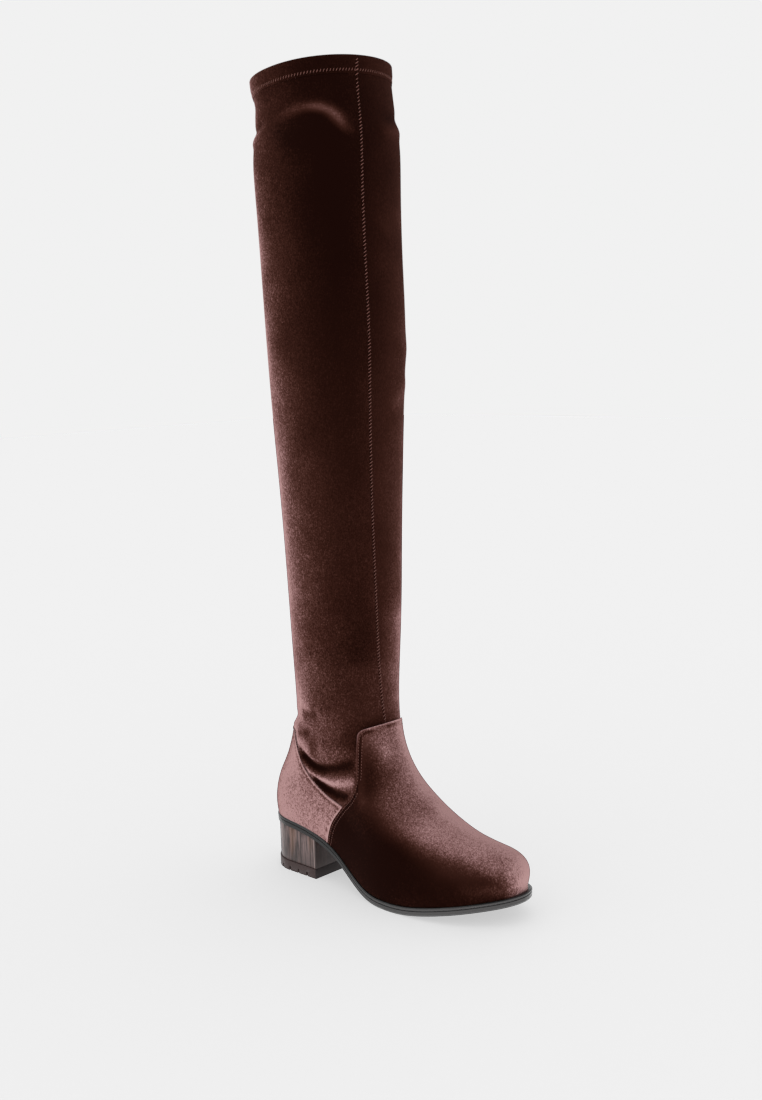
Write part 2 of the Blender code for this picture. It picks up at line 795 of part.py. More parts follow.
def notch_places():
    """Places along the lift's outline at an even pitch, with the way each one faces."""
    x, centre, half, _ = heel_loop(HEEL_INSET, np.zeros_like)
    run = np.concatenate([[0.0], np.cumsum(np.hypot(np.diff(x), np.diff(half)))])
    middle = float(centre.mean())
    places = []
    for at in np.arange(NOTCH_PITCH / 4, run[-1] - NOTCH_PITCH / 2, NOTCH_PITCH):
        ahead, after = np.interp([at, at + NOTCH_WIDTH], run, x)
        out, wider = np.interp([at, at + NOTCH_WIDTH], run, half)
        facing = math.atan2(after - ahead, out - wider)
        for side in (-1.0, 1.0):
            places.append((float(ahead), middle + side * float(out), side * facing))
    return places


def heel_lift():
    """The top piece: it stands on the floor, with notches round its lower edge."""
    loops = [
        heel_loop(HEEL_INSET, flat(LIFT_HEIGHT)),
        heel_loop(HEEL_INSET, flat(0.0)),
    ]
    rubber = smooth_material("lift_rubber", (0.075, 0.055, 0.052), 0.55)
    lift = strip_body("heel_lift", loops, rubber)
    cut_with(lift, notch_cutters(notch_places()), "DIFFERENCE")
    return lift


def clear_scene():
    for thing in list(bpy.data.objects):
        bpy.data.objects.remove(thing, do_unlink=True)


def main():
    clear_scene()
    upper()
    vamp()
    counter()
    collar_hem()
    front_seam()
    outsole()
    insole()
    heel()
    heel_lift()


main()
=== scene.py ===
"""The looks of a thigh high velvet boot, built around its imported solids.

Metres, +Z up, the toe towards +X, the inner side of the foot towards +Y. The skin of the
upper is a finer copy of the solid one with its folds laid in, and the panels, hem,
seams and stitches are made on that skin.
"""

import math

import bpy
import numpy as np
from mathutils import Matrix, Vector
from mathutils.bvhtree import BVHTree

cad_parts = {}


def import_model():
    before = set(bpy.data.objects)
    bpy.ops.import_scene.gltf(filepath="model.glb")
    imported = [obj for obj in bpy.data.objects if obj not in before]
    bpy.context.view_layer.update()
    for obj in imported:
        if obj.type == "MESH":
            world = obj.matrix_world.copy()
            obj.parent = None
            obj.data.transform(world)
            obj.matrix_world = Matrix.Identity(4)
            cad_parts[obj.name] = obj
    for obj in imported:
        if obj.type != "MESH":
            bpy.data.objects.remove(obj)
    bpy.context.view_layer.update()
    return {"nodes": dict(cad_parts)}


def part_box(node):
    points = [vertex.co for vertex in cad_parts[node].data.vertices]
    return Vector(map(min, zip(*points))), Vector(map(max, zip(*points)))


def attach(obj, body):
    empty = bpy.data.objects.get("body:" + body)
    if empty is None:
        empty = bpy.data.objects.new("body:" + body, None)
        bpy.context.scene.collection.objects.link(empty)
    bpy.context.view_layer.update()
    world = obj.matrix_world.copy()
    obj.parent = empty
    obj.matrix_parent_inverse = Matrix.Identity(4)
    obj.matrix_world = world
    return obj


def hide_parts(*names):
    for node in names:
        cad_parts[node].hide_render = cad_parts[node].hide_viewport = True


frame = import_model()

# Sizes that the pieces share, taken from the solids where they can be
SOLE_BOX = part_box("outsole")
SOLE_REAR = SOLE_BOX[0].x
SOLE_LENGTH = SOLE_BOX[1].x - SOLE_BOX[0].x
VAMP_FRONT = (0.500, 0.975)  # the top of the vamp's tab in front, as ahead and rise
ANKLE_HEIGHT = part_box("vamp")[1].z / VAMP_FRONT[1]
RIM_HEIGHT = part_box("collar_hem")[1].z
SHAFT_MIDDLE = (0.0370, 0.0050)  # of the leg, seen from above

# The vamp and counter panels
PANEL_LIFT = 0.0002
PANEL_THICK = 0.0012
PANEL_TOP = 1.12  # the height of the skin that they are cut from, in ankle heights

# The camera: angles in degrees, lengths in metres
PICTURE_HEIGHT = 1100  # in pixels, as its focal length
FOCAL_PIXELS = 1394
CAMERA_TURN = 44.5  # from straight ahead of the toe, towards the outer side
CAMERA_FAR = 1.143
CAMERA_FOOT = 0.0315  # how far ahead of the origin its turn and distance are taken from
CAMERA_HEIGHT = 0.4402
CAMERA_PITCH = 8.25
CAMERA_YAW = -2.15
CAMERA_ROLL = -1.75


def table(columns, *rows):
    """Rows of numbers as one array for each named column."""
    names = columns.split()
    return {name: np.array([row[i] for row in rows], float) for i, name in enumerate(names)}


# The vamp's edge on the side of the foot and the counter's top edge: ahead is a share of the
# sole's length from its rear end, rise of the ankle's height
VAMP_EDGE = table(
    "ahead rise",
    (0.290, 0.170),
    (0.315, 0.305),
    (0.342, 0.398),
    (0.388, 0.495),
    (0.420, 0.545),
    (0.439, 0.595),
    (0.444, 0.660),
    (0.439, 0.730),
    (0.431, 0.830),
)
VAMP_CORNER = (0.429, 0.932)
CORNER_ROUND = 0.036  # of the ankle's height
COUNTER_EDGE = table(
    "ahead rise",
    (-0.080, 0.862),
    (0.070, 0.860),
    (0.110, 0.850),
    (0.147, 0.813),
    (0.176, 0.736),
    (0.207, 0.657),
    (0.253, 0.581),
    (0.313, 0.522),
    (0.379, 0.488),
)

# A line down the middle of the hollow boot, in metres, from the heel up the shaft and from
# the ankle to the toe
CORE = (
    ((0.004, 0.003, 0.066), (0.040, 0.004, 0.092)),
    ((0.040, 0.004, 0.092), (0.036, 0.005, 0.660)),
    ((0.040, 0.004, 0.092), (0.085, 0.002, 0.056)),
    ((0.085, 0.002, 0.056), (0.130, 0.003, 0.034)),
    ((0.130, 0.003, 0.034), (0.196, 0.008, 0.031)),
)


def smooth_read(rows, at, key, values):
    """A smooth curve through a table's rows."""
    x = rows[key]
    y = rows[values]
    at = np.clip(np.asarray(at, float), x[0], x[-1])
    step = np.diff(x)
    slope = np.diff(y) / step
    middle = (slope[:-1] * step[1:] + slope[1:] * step[:-1]) / (step[1:] + step[:-1])
    tangent = np.concatenate([slope[:1], middle, slope[-1:]])
    i = np.clip(np.searchsorted(x, at) - 1, 0, len(x) - 2)
    h = step[i]
    t = (at - x[i]) / h
    low = (2 * t**3 - 3 * t**2 + 1) * y[i] + (t**3 - 2 * t**2 + t) * h * tangent[i]
    high = (3 * t**2 - 2 * t**3) * y[i + 1] + (t**3 - t**2) * h * tangent[i + 1]
    return low + high


def blend(at, low, high):
    """Nought before low, one after high, and smooth in between."""
    t = np.clip((np.asarray(at, float) - low) / (high - low), 0.0, 1.0)
    return t * t * (3 - 2 * t)


# Working with pieces


def only(*pieces):
    """Selects just these pieces, and makes the first one active."""
    for thing in bpy.context.selected_objects:
        thing.select_set(False)
    for piece in pieces:
        piece.select_set(True)
    bpy.context.view_layer.objects.active = pieces[0]


def edit(piece, faces=None, edges=None):
    """Opens a piece in edit mode with just these faces or edges selected, or all of it."""
    mesh = piece.data
    everything = faces is None and edges is None
    if faces is None:
        faces = np.full(len(mesh.polygons), everything)
    if edges is None:
        edges = np.full(len(mesh.edges), everything)
        mode = (False, False, True)
    else:
        mode = (False, True, False)
    only(piece)
    bpy.context.tool_settings.mesh_select_mode = mode
    mesh.vertices.foreach_set("select", np.full(len(mesh.vertices), everything))
    mesh.edges.foreach_set("select", np.asarray(edges, bool))
    mesh.polygons.foreach_set("select", np.asarray(faces, bool))
    bpy.ops.object.mode_set(mode="EDIT")


def leave():
    bpy.ops.object.mode_set(mode="OBJECT")


def read(items, name, width=1, kind=float):
    """One property of all vertices, edges, loops or faces, a row for each."""
    values = np.empty(len(items) * width, kind)
    items.foreach_get(name, values)
    return values.reshape(-1, width) if width > 1 else values


def places(mesh):
    return read(mesh.vertices, "co", 3)


def put(mesh, co):
    mesh.vertices.foreach_set("co", np.ascontiguousarray(co, float).ravel())
    mesh.update()


def face_slots(mesh):
    return read(mesh.polygons, "material_index", 1, int)


def sharp_edges(piece, degrees):
    edit(piece, edges=np.zeros(len(piece.data.edges)))
    bpy.ops.mesh.edges_select_sharp(sharpness=math.radians(degrees))
    leave()
    return read(piece.data.edges, "select", 1, bool)


def placed(name, data):
    """A new object in the scene, at the origin."""
    thing = bpy.data.objects.new(name, data)
    data.name = name
    bpy.context.scene.collection.objects.link(thing)
    return thing


def finer_copy(solid, name):
    """A copy of a solid, its triangles merged and joined to quads."""
    piece = placed(name, frame["nodes"][solid].data.copy())
    piece.data.materials.clear()
    edit(piece)
    bpy.ops.mesh.remove_doubles(threshold=0.00001)
    bpy.ops.mesh.customdata_custom_splitnormals_clear()
    bpy.ops.mesh.mark_sharp(clear=True)
    bpy.ops.mesh.tris_convert_to_quads(face_threshold=math.pi, shape_threshold=math.pi)
    leave()
    return piece


def crease(piece, chosen):
    edit(piece, edges=chosen)
    bpy.ops.transform.edge_crease(value=1.0)
    leave()


def apply(piece, kind, **settings):
    only(piece)
    modifier = piece.modifiers.new(kind.lower(), kind)
    for key, value in settings.items():
        setattr(modifier, key, value)
    bpy.ops.object.modifier_apply(modifier=modifier.name)


def subdivide(piece, levels):
    apply(piece, "SUBSURF", levels=levels, render_levels=levels)


def rounded(piece, width, degrees=40):
    """Rounds the edges of a piece that turn by more than an angle."""
    apply(
        piece,
        "BEVEL",
        width=width,
        segments=2,
        limit_method="ANGLE",
        angle_limit=math.radians(degrees),
        harden_normals=False,
    )


# Materials

# The pile's colour from the way of its hairs (0) to across them (1): its own dark red-brown,
# lightening into a painted mauve sheen
VELVET_TONES = (
    (0.00, (0.0066, 0.0018, 0.0012)),
    (0.12, (0.0125, 0.0036, 0.0023)),
    (0.32, (0.0270, 0.0088, 0.0060)),
    (0.52, (0.0620, 0.0250, 0.0200)),
    (0.70, (0.1500, 0.0740, 0.0700)),
    (0.86, (0.2700, 0.1530, 0.1500)),
    (1.00, (0.3400, 0.2030, 0.1980)),
)
# What turns the hairs: scale, detail and amount of the fine nap and of the brushed patches
NAP_GRAINS = ((1100.0, 2.0, 1.25), (420.0, 1.0, 0.3125))
BRUSHED_GRAIN = (26.0, 2.0, 0.52)
NAP_STRETCH = (1.0, 1.0, 0.7)

SOLE_BLACK = (0.0030, 0.0028, 0.0029)
SOLE_TOE_REFLECTION = (0.0480, 0.0460, 0.0460)
HEEL_DARK = (0.020, 0.012, 0.011)
HEEL_LIGHT = (0.132, 0.088, 0.084)
HEEL_WARM = (0.120, 0.056, 0.030)
HEEL_CORNER_HIGHLIGHT = (0.230, 0.170, 0.160)
LIFT_BROWN = (0.030, 0.016, 0.015)
LIFT_DARK = (0.011, 0.006, 0.006)
LINING_BROWN = (0.034, 0.017, 0.013)
THREAD_BROWN = (0.112, 0.036, 0.025)

# Where a colour changes, from and to, in metres: towards the toe for the painted reflection on
# the sole, the painted highlight along the heel's front corners, and the painted shade on the
# front faces of heel and top piece, and up for the foot of the heel
SOLE_REFLECTION_SPAN = (0.05, 0.16)
HEEL_CORNER_STARTS = (0.0284, 0.0290)
HEEL_CORNER_ENDS = (0.0294, 0.0299)
HEEL_FRONT = (0.0298, 0.0308)
LIFT_FRONT = (0.0302, 0.0312)
HEEL_FOOT = (0.008, 0.030)


def new_material(name, colour, roughness, settings=None):
    material = bpy.data.materials.new(name)
    material.use_nodes = True
    tree = material.node_tree
    shader = tree.nodes["Principled BSDF"]
    shader.inputs["Base Color"].default_value = (*colour, 1.0)
    shader.inputs["Roughness"].default_value = roughness
    for key, value in (settings or {}).items():
        shader.inputs[key].default_value = value
    return material, tree, shader


def node(tree, kind, inputs, **settings):
    """A shader node; its inputs are numbers, colours or other nodes' outputs."""
    made = tree.nodes.new("ShaderNode" + kind)
    for key, value in settings.items():
        setattr(made, key, value)
    for key, value in inputs.items():
        if isinstance(value, bpy.types.NodeSocket):
            tree.links.new(value, made.inputs[key])
        else:
            made.inputs[key].default_value = value
    return made


def noise(tree, scale, detail, stretch=(1.0, 1.0, 1.0), roughness=0.5):
    place = node(tree, "TexCoord", {}).outputs["Object"]
    if stretch != (1.0, 1.0, 1.0):
        place = node(tree, "Mapping", {"Vector": place, "Scale": stretch}).outputs["Vector"]
    made = node(
        tree,
        "TexNoise",
        {"Vector": place, "Scale": scale, "Detail": detail, "Roughness": roughness},
    )
    return made.outputs["Fac"]


def spread(tree, value, low, high, to_low=0.0, to_high=1.0):
    made = node(
        tree,
        "MapRange",
        {"Value": value, "From Min": low, "From Max": high, "To Min": to_low, "To Max": to_high},
        interpolation_type="SMOOTHSTEP",
    )
    return made.outputs["Result"]


def math_of(tree, operation, first, second):
    made = node(tree, "Math", {0: first, 1: second}, operation=operation)
    return made.outputs[0]


def mixed(tree, share, first, second):
    colours = [value if isinstance(value, bpy.types.NodeSocket) else (*value, 1.0)
               for value in (first, second)]
    made = node(tree, "Mix", {0: share, 6: colours[0], 7: colours[1]}, data_type="RGBA")
    return made.outputs[2]


def bumped(tree, height, distance, strength):
    made = node(tree, "Bump", {"Height": height, "Distance": distance, "Strength": strength})
    return made.outputs["Normal"]


def vector_of(tree, operation, first, second=(0.0, 0.0, 0.0)):
    made = node(tree, "VectorMath", {0: first, 1: second}, operation=operation)
    return made.outputs[0]


def along(tree, axis, low, high, to_low=0.0, to_high=1.0):
    """A value that changes between two places along an axis of the boot."""
    place = node(tree, "TexCoord", {}).outputs["Object"]
    at = node(tree, "SeparateXYZ", {"Vector": place}).outputs[axis]
    return spread(tree, at, low, high, to_low, to_high)


def velvet():
    """Short dark red-brown pile with a painted mauve sheen where it is seen across its hairs.

    One attribute says which way the pile leans, with painted light and shade laid into the way it
    leans, and "shade" lays more painted light and shade over the pile.
    """
    material, tree, shader = new_material(
        "velvet",
        VELVET_TONES[0][1],
        1.0,
        {
            "Sheen Weight": 0.02,
            "Sheen Roughness": 0.5,
            "Sheen Tint": (1.0, 0.6, 0.55, 1.0),
            "Specular IOR Level": 0.0,
        },
    )
    place = node(tree, "TexCoord", {}).outputs["Object"]
    lay_and_light = node(tree, "Attribute", {}, attribute_name="lay_and_light").outputs["Vector"]
    pile = node(tree, "NewGeometry", {}).outputs["Normal"]
    pile = vector_of(tree, "ADD", pile, lay_and_light)
    upright = node(tree, "Mapping", {"Vector": place, "Scale": NAP_STRETCH}).outputs["Vector"]
    grains = [(upright, *grain) for grain in NAP_GRAINS] + [(place, *BRUSHED_GRAIN)]
    for at, scale, detail, amount in grains:
        made = node(tree, "TexNoise", {"Vector": at, "Scale": scale, "Detail": detail})
        way = vector_of(tree, "SUBTRACT", made.outputs["Color"], (0.5, 0.5, 0.5))
        pile = vector_of(tree, "ADD", pile, vector_of(tree, "MULTIPLY", way, (amount,) * 3))
    pile = vector_of(tree, "NORMALIZE", pile)
    facing = node(tree, "LayerWeight", {"Blend": 0.5, "Normal": pile}).outputs["Facing"]
    shade = node(tree, "Attribute", {}, attribute_name="shade").outputs["Fac"]
    tones = node(tree, "ValToRGB", {"Fac": math_of(tree, "ADD", facing, shade)})
    ramp = tones.color_ramp
    for position, colour in VELVET_TONES[1:-1]:
        ramp.elements.new(position).color = (*colour, 1.0)
    for element, (position, colour) in zip(ramp.elements, VELVET_TONES):
        element.position = position
        element.color = (*colour, 1.0)
    tree.links.new(tones.outputs["Color"], shader.inputs["Base Color"])
    nap = noise(tree, 1050.0, 1.0)
    tree.links.new(bumped(tree, nap, 0.0002, 0.4), shader.inputs["Normal"])
    return material


def lining():
    """Plain dark cloth with a fine weave."""
    material, tree, shader = new_material(
        "lining", LINING_BROWN, 0.85, {"Specular IOR Level": 0.15}
    )
    weave = noise(tree, 900.0, 2.0, (1.0, 1.0, 2.5))
    tree.links.new(bumped(tree, weave, 0.0002, 0.4), shader.inputs["Normal"])
    return material


def sole_rubber():
    """Black, with a painted grey reflection round the sides of the toe and painted shade on its
    upward faces under the upper.
    """
    material, tree, shader = new_material(
        "sole", SOLE_BLACK, 0.30, {"Specular IOR Level": 0.22}
    )
    grain = noise(tree, 700.0, 3.0)
    # A painted reflection, grey towards the toe
    colour = mixed(tree, along(tree, "X", *SOLE_REFLECTION_SPAN), SOLE_BLACK, SOLE_TOE_REFLECTION)
    # Painted shade: black on the upward faces, in the gap under the upper
    facing = node(tree, "NewGeometry", {}).outputs["Normal"]
    upward = node(tree, "SeparateXYZ", {"Vector": facing}).outputs["Z"]
    colour = mixed(tree, spread(tree, upward, 0.30, 0.75), colour, SOLE_BLACK)
    tree.links.new(colour, shader.inputs["Base Color"])
    tree.links.new(spread(tree, grain, 0.3, 0.7, 0.26, 0.40), shader.inputs["Roughness"])
    tree.links.new(bumped(tree, grain, 0.0001, 0.2), shader.inputs["Normal"])
    return material


def heel_stack():
    """The heel's cover, with fine upright streaks, darker at its foot, a painted highlight along
    its front corners and painted shade on its front face.
    """
    material, tree, shader = new_material(
        "heel_stack", HEEL_DARK, 0.42, {"Specular IOR Level": 0.22}
    )
    streaks = noise(tree, 1.0, 5.0, (420.0, 420.0, 30.0), 0.65)
    patches = noise(tree, 1.0, 2.0, (110.0, 110.0, 22.0))
    colour = mixed(tree, spread(tree, streaks, 0.38, 0.60), HEEL_DARK, HEEL_LIGHT)
    warm = spread(tree, patches, 0.54, 0.72, 0.0, 0.5)
    colour = mixed(tree, warm, colour, HEEL_WARM)
    colour = mixed(tree, along(tree, "Z", *HEEL_FOOT, 0.55, 0.0), colour, HEEL_DARK)
    # A painted highlight along the front corners
    corner = math_of(
        tree,
        "MULTIPLY",
        along(tree, "X", *HEEL_CORNER_STARTS),
        along(tree, "X", *HEEL_CORNER_ENDS, 0.7, 0.0),
    )
    colour = mixed(tree, corner, colour, HEEL_CORNER_HIGHLIGHT)
    # Painted shade on the front face
    colour = mixed(tree, along(tree, "X", *HEEL_FRONT, 0.0, 0.80), colour, HEEL_DARK)
    tree.links.new(colour, shader.inputs["Base Color"])
    tree.links.new(bumped(tree, streaks, 0.0001, 0.35), shader.inputs["Normal"])
    return material


def lift_rubber():
    """The top piece's brown rubber, with painted shade on its front face."""
    material, tree, shader = new_material(
        "lift", LIFT_BROWN, 0.50, {"Specular IOR Level": 0.2}
    )
    # Painted shade on the front face
    front = along(tree, "X", *LIFT_FRONT)
    tree.links.new(mixed(tree, front, LIFT_BROWN, LIFT_DARK), shader.inputs["Base Color"])
    grain = noise(tree, 500.0, 3.0)
    tree.links.new(bumped(tree, grain, 0.0001, 0.25), shader.inputs["Normal"])
    return material


def thread():
    """Reddish brown sewing thread with a fine twist."""
    material, tree, shader = new_material("thread", THREAD_BROWN, 0.70)
    twist = noise(tree, 2600.0, 1.0)
    tree.links.new(bumped(tree, twist, 0.0001, 0.4), shader.inputs["Normal"])
    return material


MATERIALS = {
    "velvet": velvet(),
    "lining": lining(),
    "sole": sole_rubber(),
    "heel_stack": heel_stack(),
    "lift": lift_rubber(),
    "thread": thread(),
}


# The skin of the upper

SHARP_ANGLE = 60  # of the upper's and the hem's real edges, in degrees
LONGEST_EDGE = 0.0036
CUT_EDGE_ROUND = 0.0005


def outside_of(centre, normal):
    """Whether faces of the hollow boot look away from its core."""
    best = np.full(len(centre), np.inf)
    away = np.zeros_like(centre)
    for start, end in CORE:
        start = np.array(start)
        step = np.array(end) - start
        share = np.clip((centre - start) @ step / (step @ step), 0.0, 1.0)
        out = centre - (start + share[:, None] * step)
        far = np.linalg.norm(out, axis=1)
        nearer = far < best
        best = np.where(nearer, far, best)
        away[nearer] = out[nearer]
    return (away * normal).sum(axis=1) > 0


def turn_and_rise(co):
    """How far round the shaft points lie, in degrees from the back by the outer side."""
    out = co[:, :2] - np.array(SHAFT_MIDDLE)
    turn = np.degrees(np.arctan2(-out[:, 1], -out[:, 0])) % 360.0
    return turn, co[:, 2], out / np.linalg.norm(out, axis=1, keepdims=True)


def build_skin():
    """The hollow upper at the fineness that its folds need, its inner wall a lining."""
    skin = finer_copy("upper", "upper_skin")
    faces = skin.data.polygons
    inside = ~outside_of(read(faces, "center", 3), read(faces, "normal", 3))
    skin.data.materials.append(MATERIALS["velvet"])
    skin.data.materials.append(MATERIALS["lining"])
    faces.foreach_set("material_index", inside.astype(np.int32))
    crease(skin, sharp_edges(skin, SHARP_ANGLE))
    subdivide(skin, 2)
    split_long_edges(skin, LONGEST_EDGE)
    return skin


def split_long_edges(piece, most):
    """Cuts the long upright edges of the shaft's outer wall into even steps."""
    for cuts, least in ((3, 3 * most), (2, 2 * most), (1, most)):
        mesh = piece.data
        ends = read(mesh.edges, "vertices", 2, int)
        co = places(mesh)
        step = co[ends[:, 1]] - co[ends[:, 0]]
        length = np.linalg.norm(step, axis=1)
        upright = np.abs(step[:, 2]) > 0.8 * length
        edit(piece, edges=(length > least) & upright & outer_edges(mesh))
        bpy.ops.mesh.subdivide(number_cuts=cuts)
        leave()


def outer_edges(mesh):
    """Edges that lie between two faces of the outer wall."""
    loops = read(mesh.loops, "edge_index", 1, int)
    sides = read(mesh.polygons, "loop_total", 1, int)
    outer = np.repeat(face_slots(mesh) == 0, sides)
    count = np.bincount(loops, weights=outer, minlength=len(mesh.edges))
    return count > 1.5


# Outlines seen from the side, and the panels cut along them


def side_point(ahead, rise):
    """A place seen from the side, from its shares of the sole's length and ankle's height."""
    return SOLE_REAR + ahead * SOLE_LENGTH, rise * ANKLE_HEIGHT


def edge_line(rows, count=40):
    """A smooth side-view line through an outline's rows."""
    run = {"run": np.linspace(0.0, 1.0, len(rows["ahead"])), **rows}
    at = np.linspace(0.0, 1.0, count)
    ahead = smooth_read(run, at, "run", "ahead")
    rise = smooth_read(run, at, "run", "rise")
    return [side_point(a, r) for a, r in zip(ahead, rise)]


def rounded_corner(before, corner, after, size, count=12):
    """Points of a soft curve that cuts a corner off."""
    corner = np.array(corner)
    start = np.array(before) - corner
    end = np.array(after) - corner
    start = corner + start / np.linalg.norm(start) * size
    end = corner + end / np.linalg.norm(end) * size
    t = np.linspace(0.0, 1.0, count)[:, None]
    curve = (1 - t) ** 2 * start + 2 * t * (1 - t) * corner + t**2 * end
    return [tuple(point) for point in curve]


def vamp_line():
    """The vamp's edge from the feather edge up to its tab, and over to the front."""
    edge = edge_line(VAMP_EDGE)
    corner = side_point(*VAMP_CORNER)
    front = side_point(*VAMP_FRONT)
    return [*edge, *rounded_corner(edge[-1], corner, front, CORNER_ROUND * ANKLE_HEIGHT), front]


def vamp_outline():
    """The vamp's edge, closed round the toe with room to spare."""
    line = vamp_line()
    beyond = SOLE_REAR + 1.1 * SOLE_LENGTH
    return [*line, (beyond, line[-1][1]), (beyond, 0.0), (line[0][0], 0.0)]


def counter_outline():
    """The counter's top edge and its edge along the vamp, closed round the heel."""
    top = edge_line(COUNTER_EDGE)
    side = [point for point in edge_line(VAMP_EDGE) if point[1] < top[-1][1]]
    behind = SOLE_REAR - 0.1 * SOLE_LENGTH
    return [(behind, 0.0), (side[0][0], 0.0), *side, *reversed(top), (behind, top[0][1])]


def distance_to(line, x, z):
    """How far side-view points lie from an open line."""
    line = np.array(line)
    start = line[:-1]
    step = line[1:] - start
    points = np.stack([x, z], axis=1)
    best = np.full(len(points), np.inf)
    for a, s in zip(start, step):
        t = np.clip(((points - a) @ s) / max(s @ s, 1e-18), 0.0, 1.0)
        best = np.minimum(best, np.linalg.norm(points - a - t[:, None] * s, axis=1))
    return best


def within(outline, x, z):
    """Whether side-view points lie inside a closed outline."""
    inside = np.zeros(len(x), bool)
    for (ax, az), (bx, bz) in zip(outline, [*outline[1:], outline[0]]):
        if az == bz:
            continue
        crosses = (az > z) != (bz > z)
        inside ^= crosses & (x < ax + (z - az) * (bx - ax) / (bz - az))
    return inside


def prism(name, outline):
    """A block across the boot with an outline seen from the side."""
    bpy.ops.mesh.primitive_circle_add(vertices=len(outline), fill_type="NGON")
    block = bpy.context.active_object
    block.name = name
    reach = 0.12
    put(block.data, [(x, -reach, z) for x, z in outline])
    edit(block)
    bpy.ops.mesh.extrude_region_move(TRANSFORM_OT_translate={"value": (0, 2 * reach, 0)})
    bpy.ops.mesh.select_all(action="SELECT")
    bpy.ops.mesh.normals_make_consistent(inside=False)
    leave()
    return block


def loose_wall(skin, name, keep, lift, thick):
    """Some of the skin's faces as a closed sheet of their own, just off the skin."""
    piece = placed(name, skin.data.copy())
    edit(piece, faces=~keep)
    bpy.ops.mesh.delete(type="FACE")
    bpy.ops.mesh.select_mode(type="VERT")
    bpy.ops.mesh.select_all(action="SELECT")
    bpy.ops.transform.shrink_fatten(value=lift)
    leave()
    apply(piece, "SOLIDIFY", thickness=thick, offset=1.0)
    return piece


def panel(skin, name, outline):
    """A second layer of velvet on the foot, cut to an outline."""
    height = read(skin.data.polygons, "center", 3)[:, 2]
    keep = (face_slots(skin.data) == 0) & (height < PANEL_TOP * ANKLE_HEIGHT)
    piece = loose_wall(skin, name, keep, PANEL_LIFT, PANEL_THICK)
    block = prism(name + "_shape", outline)
    apply(piece, "BOOLEAN", object=block, operation="INTERSECT", solver="EXACT")
    bpy.data.objects.remove(block)
    return piece


# Paths on the surfaces


def surface_of(piece):
    mesh = piece.data
    polygons = [list(p.vertices) for p in mesh.polygons]
    return BVHTree.FromPolygons([tuple(c) for c in places(mesh)], polygons)


def evenly(path, step):
    """Points at an even step along a path, with the path's corners kept soft."""
    path = np.asarray(path)
    run = np.concatenate([[0.0], np.cumsum(np.linalg.norm(np.diff(path, axis=0), axis=1))])
    at = np.linspace(0.0, run[-1], max(2, round(run[-1] / step) + 1))
    return np.stack([np.interp(at, run, path[:, i]) for i in range(3)], axis=1)


def relaxed(path, rounds):
    """A path with its kinks evened out, its ends kept."""
    path = path.copy()
    for _ in range(rounds):
        path[1:-1] = (path[:-2] + 2 * path[1:-1] + path[2:]) / 4
    return path


def frames_on(path, surface):
    """The nearest surface points to a path, with their normals and the path's way."""
    hits = [surface.find_nearest(Vector(point)) for point in path]
    spots = np.array([hit[0] for hit in hits])
    normal = np.array([hit[1] for hit in hits])
    way = np.gradient(spots, axis=0)
    way -= (way * normal).sum(axis=1, keepdims=True) * normal
    way /= np.linalg.norm(way, axis=1, keepdims=True)
    return spots, way, normal


def cord_along(name, path, radius, sides):
    """A round cord along points, its ends closed."""
    line = bpy.data.curves.new(name, "CURVE")
    line.dimensions = "3D"
    line.bevel_depth = radius
    line.bevel_resolution = (sides - 4) // 2
    line.use_fill_caps = True
    spline = line.splines.new("POLY")
    spline.points.add(len(path) - 1)
    flat = np.concatenate([path, np.ones((len(path), 1))], axis=1)
    spline.points.foreach_set("co", flat.ravel())
    only(placed(name, line))
    bpy.ops.object.convert(target="MESH")
    return bpy.context.active_object


# Stitches: step along the row, length and width in metres, slant from the row in degrees,
# and how far they stand off the cloth
EDGE_STITCH = {"step": 0.0024, "length": 0.0016, "width": 0.00044, "slant": 12, "lift": 0.0}
HEM_STITCH = {"step": 0.0025, "length": 0.0025, "width": 0.00050, "slant": 62, "lift": 0.0}
SEAM_STITCH = {"step": 0.0027, "length": 0.0032, "width": 0.00062, "slant": -52, "lift": 0.0001}
THREAD_FLAT = 0.8  # a stitch's height, as a share of its width


def one_stitch():
    """A grain of thread, thick in the middle and sunk at both ends, a metre long."""
    bpy.ops.mesh.primitive_uv_sphere_add(segments=6, ring_count=4, radius=0.5)
    grain = bpy.context.active_object
    edit(grain)
    bpy.ops.transform.rotate(value=math.pi / 2, orient_axis="Y", center_override=(0, 0, 0))
    leave()
    co = places(grain.data)
    faces = [list(p.vertices) for p in grain.data.polygons]
    bpy.data.objects.remove(grain)
    return co, faces


def stitches(name, kind, rows):
    """One mesh of a kind of stitch, from rows of spots with their way and normals."""
    grain, grain_faces = one_stitch()
    slant = math.radians(kind["slant"])
    points = []
    faces = []
    for spots, way, normal in rows:
        across = np.cross(normal, way)
        turned = way * math.cos(slant) + across * math.sin(slant)
        beside = np.cross(normal, turned)
        for spot, u, v, n in zip(spots, turned, beside, normal):
            count = len(points) * len(grain)
            shaped = (
                spot
                + n * kind["lift"]
                + grain[:, :1] * kind["length"] * u
                + grain[:, 1:2] * kind["width"] * v
                + grain[:, 2:] * kind["width"] * THREAD_FLAT * n
            )
            points.append(shaped)
            faces.extend([[count + i for i in face] for face in grain_faces])
    mesh = bpy.data.meshes.new(name)
    mesh.from_pydata(np.concatenate(points).tolist(), [], faces)
    mesh.shade_smooth()
    mesh.materials.append(MATERIALS["thread"])
    return placed(name, mesh)


# Folds

LEG_RADIUS = 0.038  # turns degrees round the leg into metres
FOLD_EASE = 0.0030  # how far from a panel's edge the folds come in


def fold(amount, half_width, shade, *rows, fade=0.25, over=None):
    """A soft ridge or trough along points round the leg.

    Turn is in degrees from the back by the outer side, rise a share of the ankle's height or
    of the rim's. The fold lifts or sinks the skin by its amount within its half width, both
    in metres, lays painted light over the pile by a positive shade and painted shade by a
    negative one, and fades at both ends.
    """
    return table("turn rise", *rows), amount, half_width, shade, fade, over or ANKLE_HEIGHT
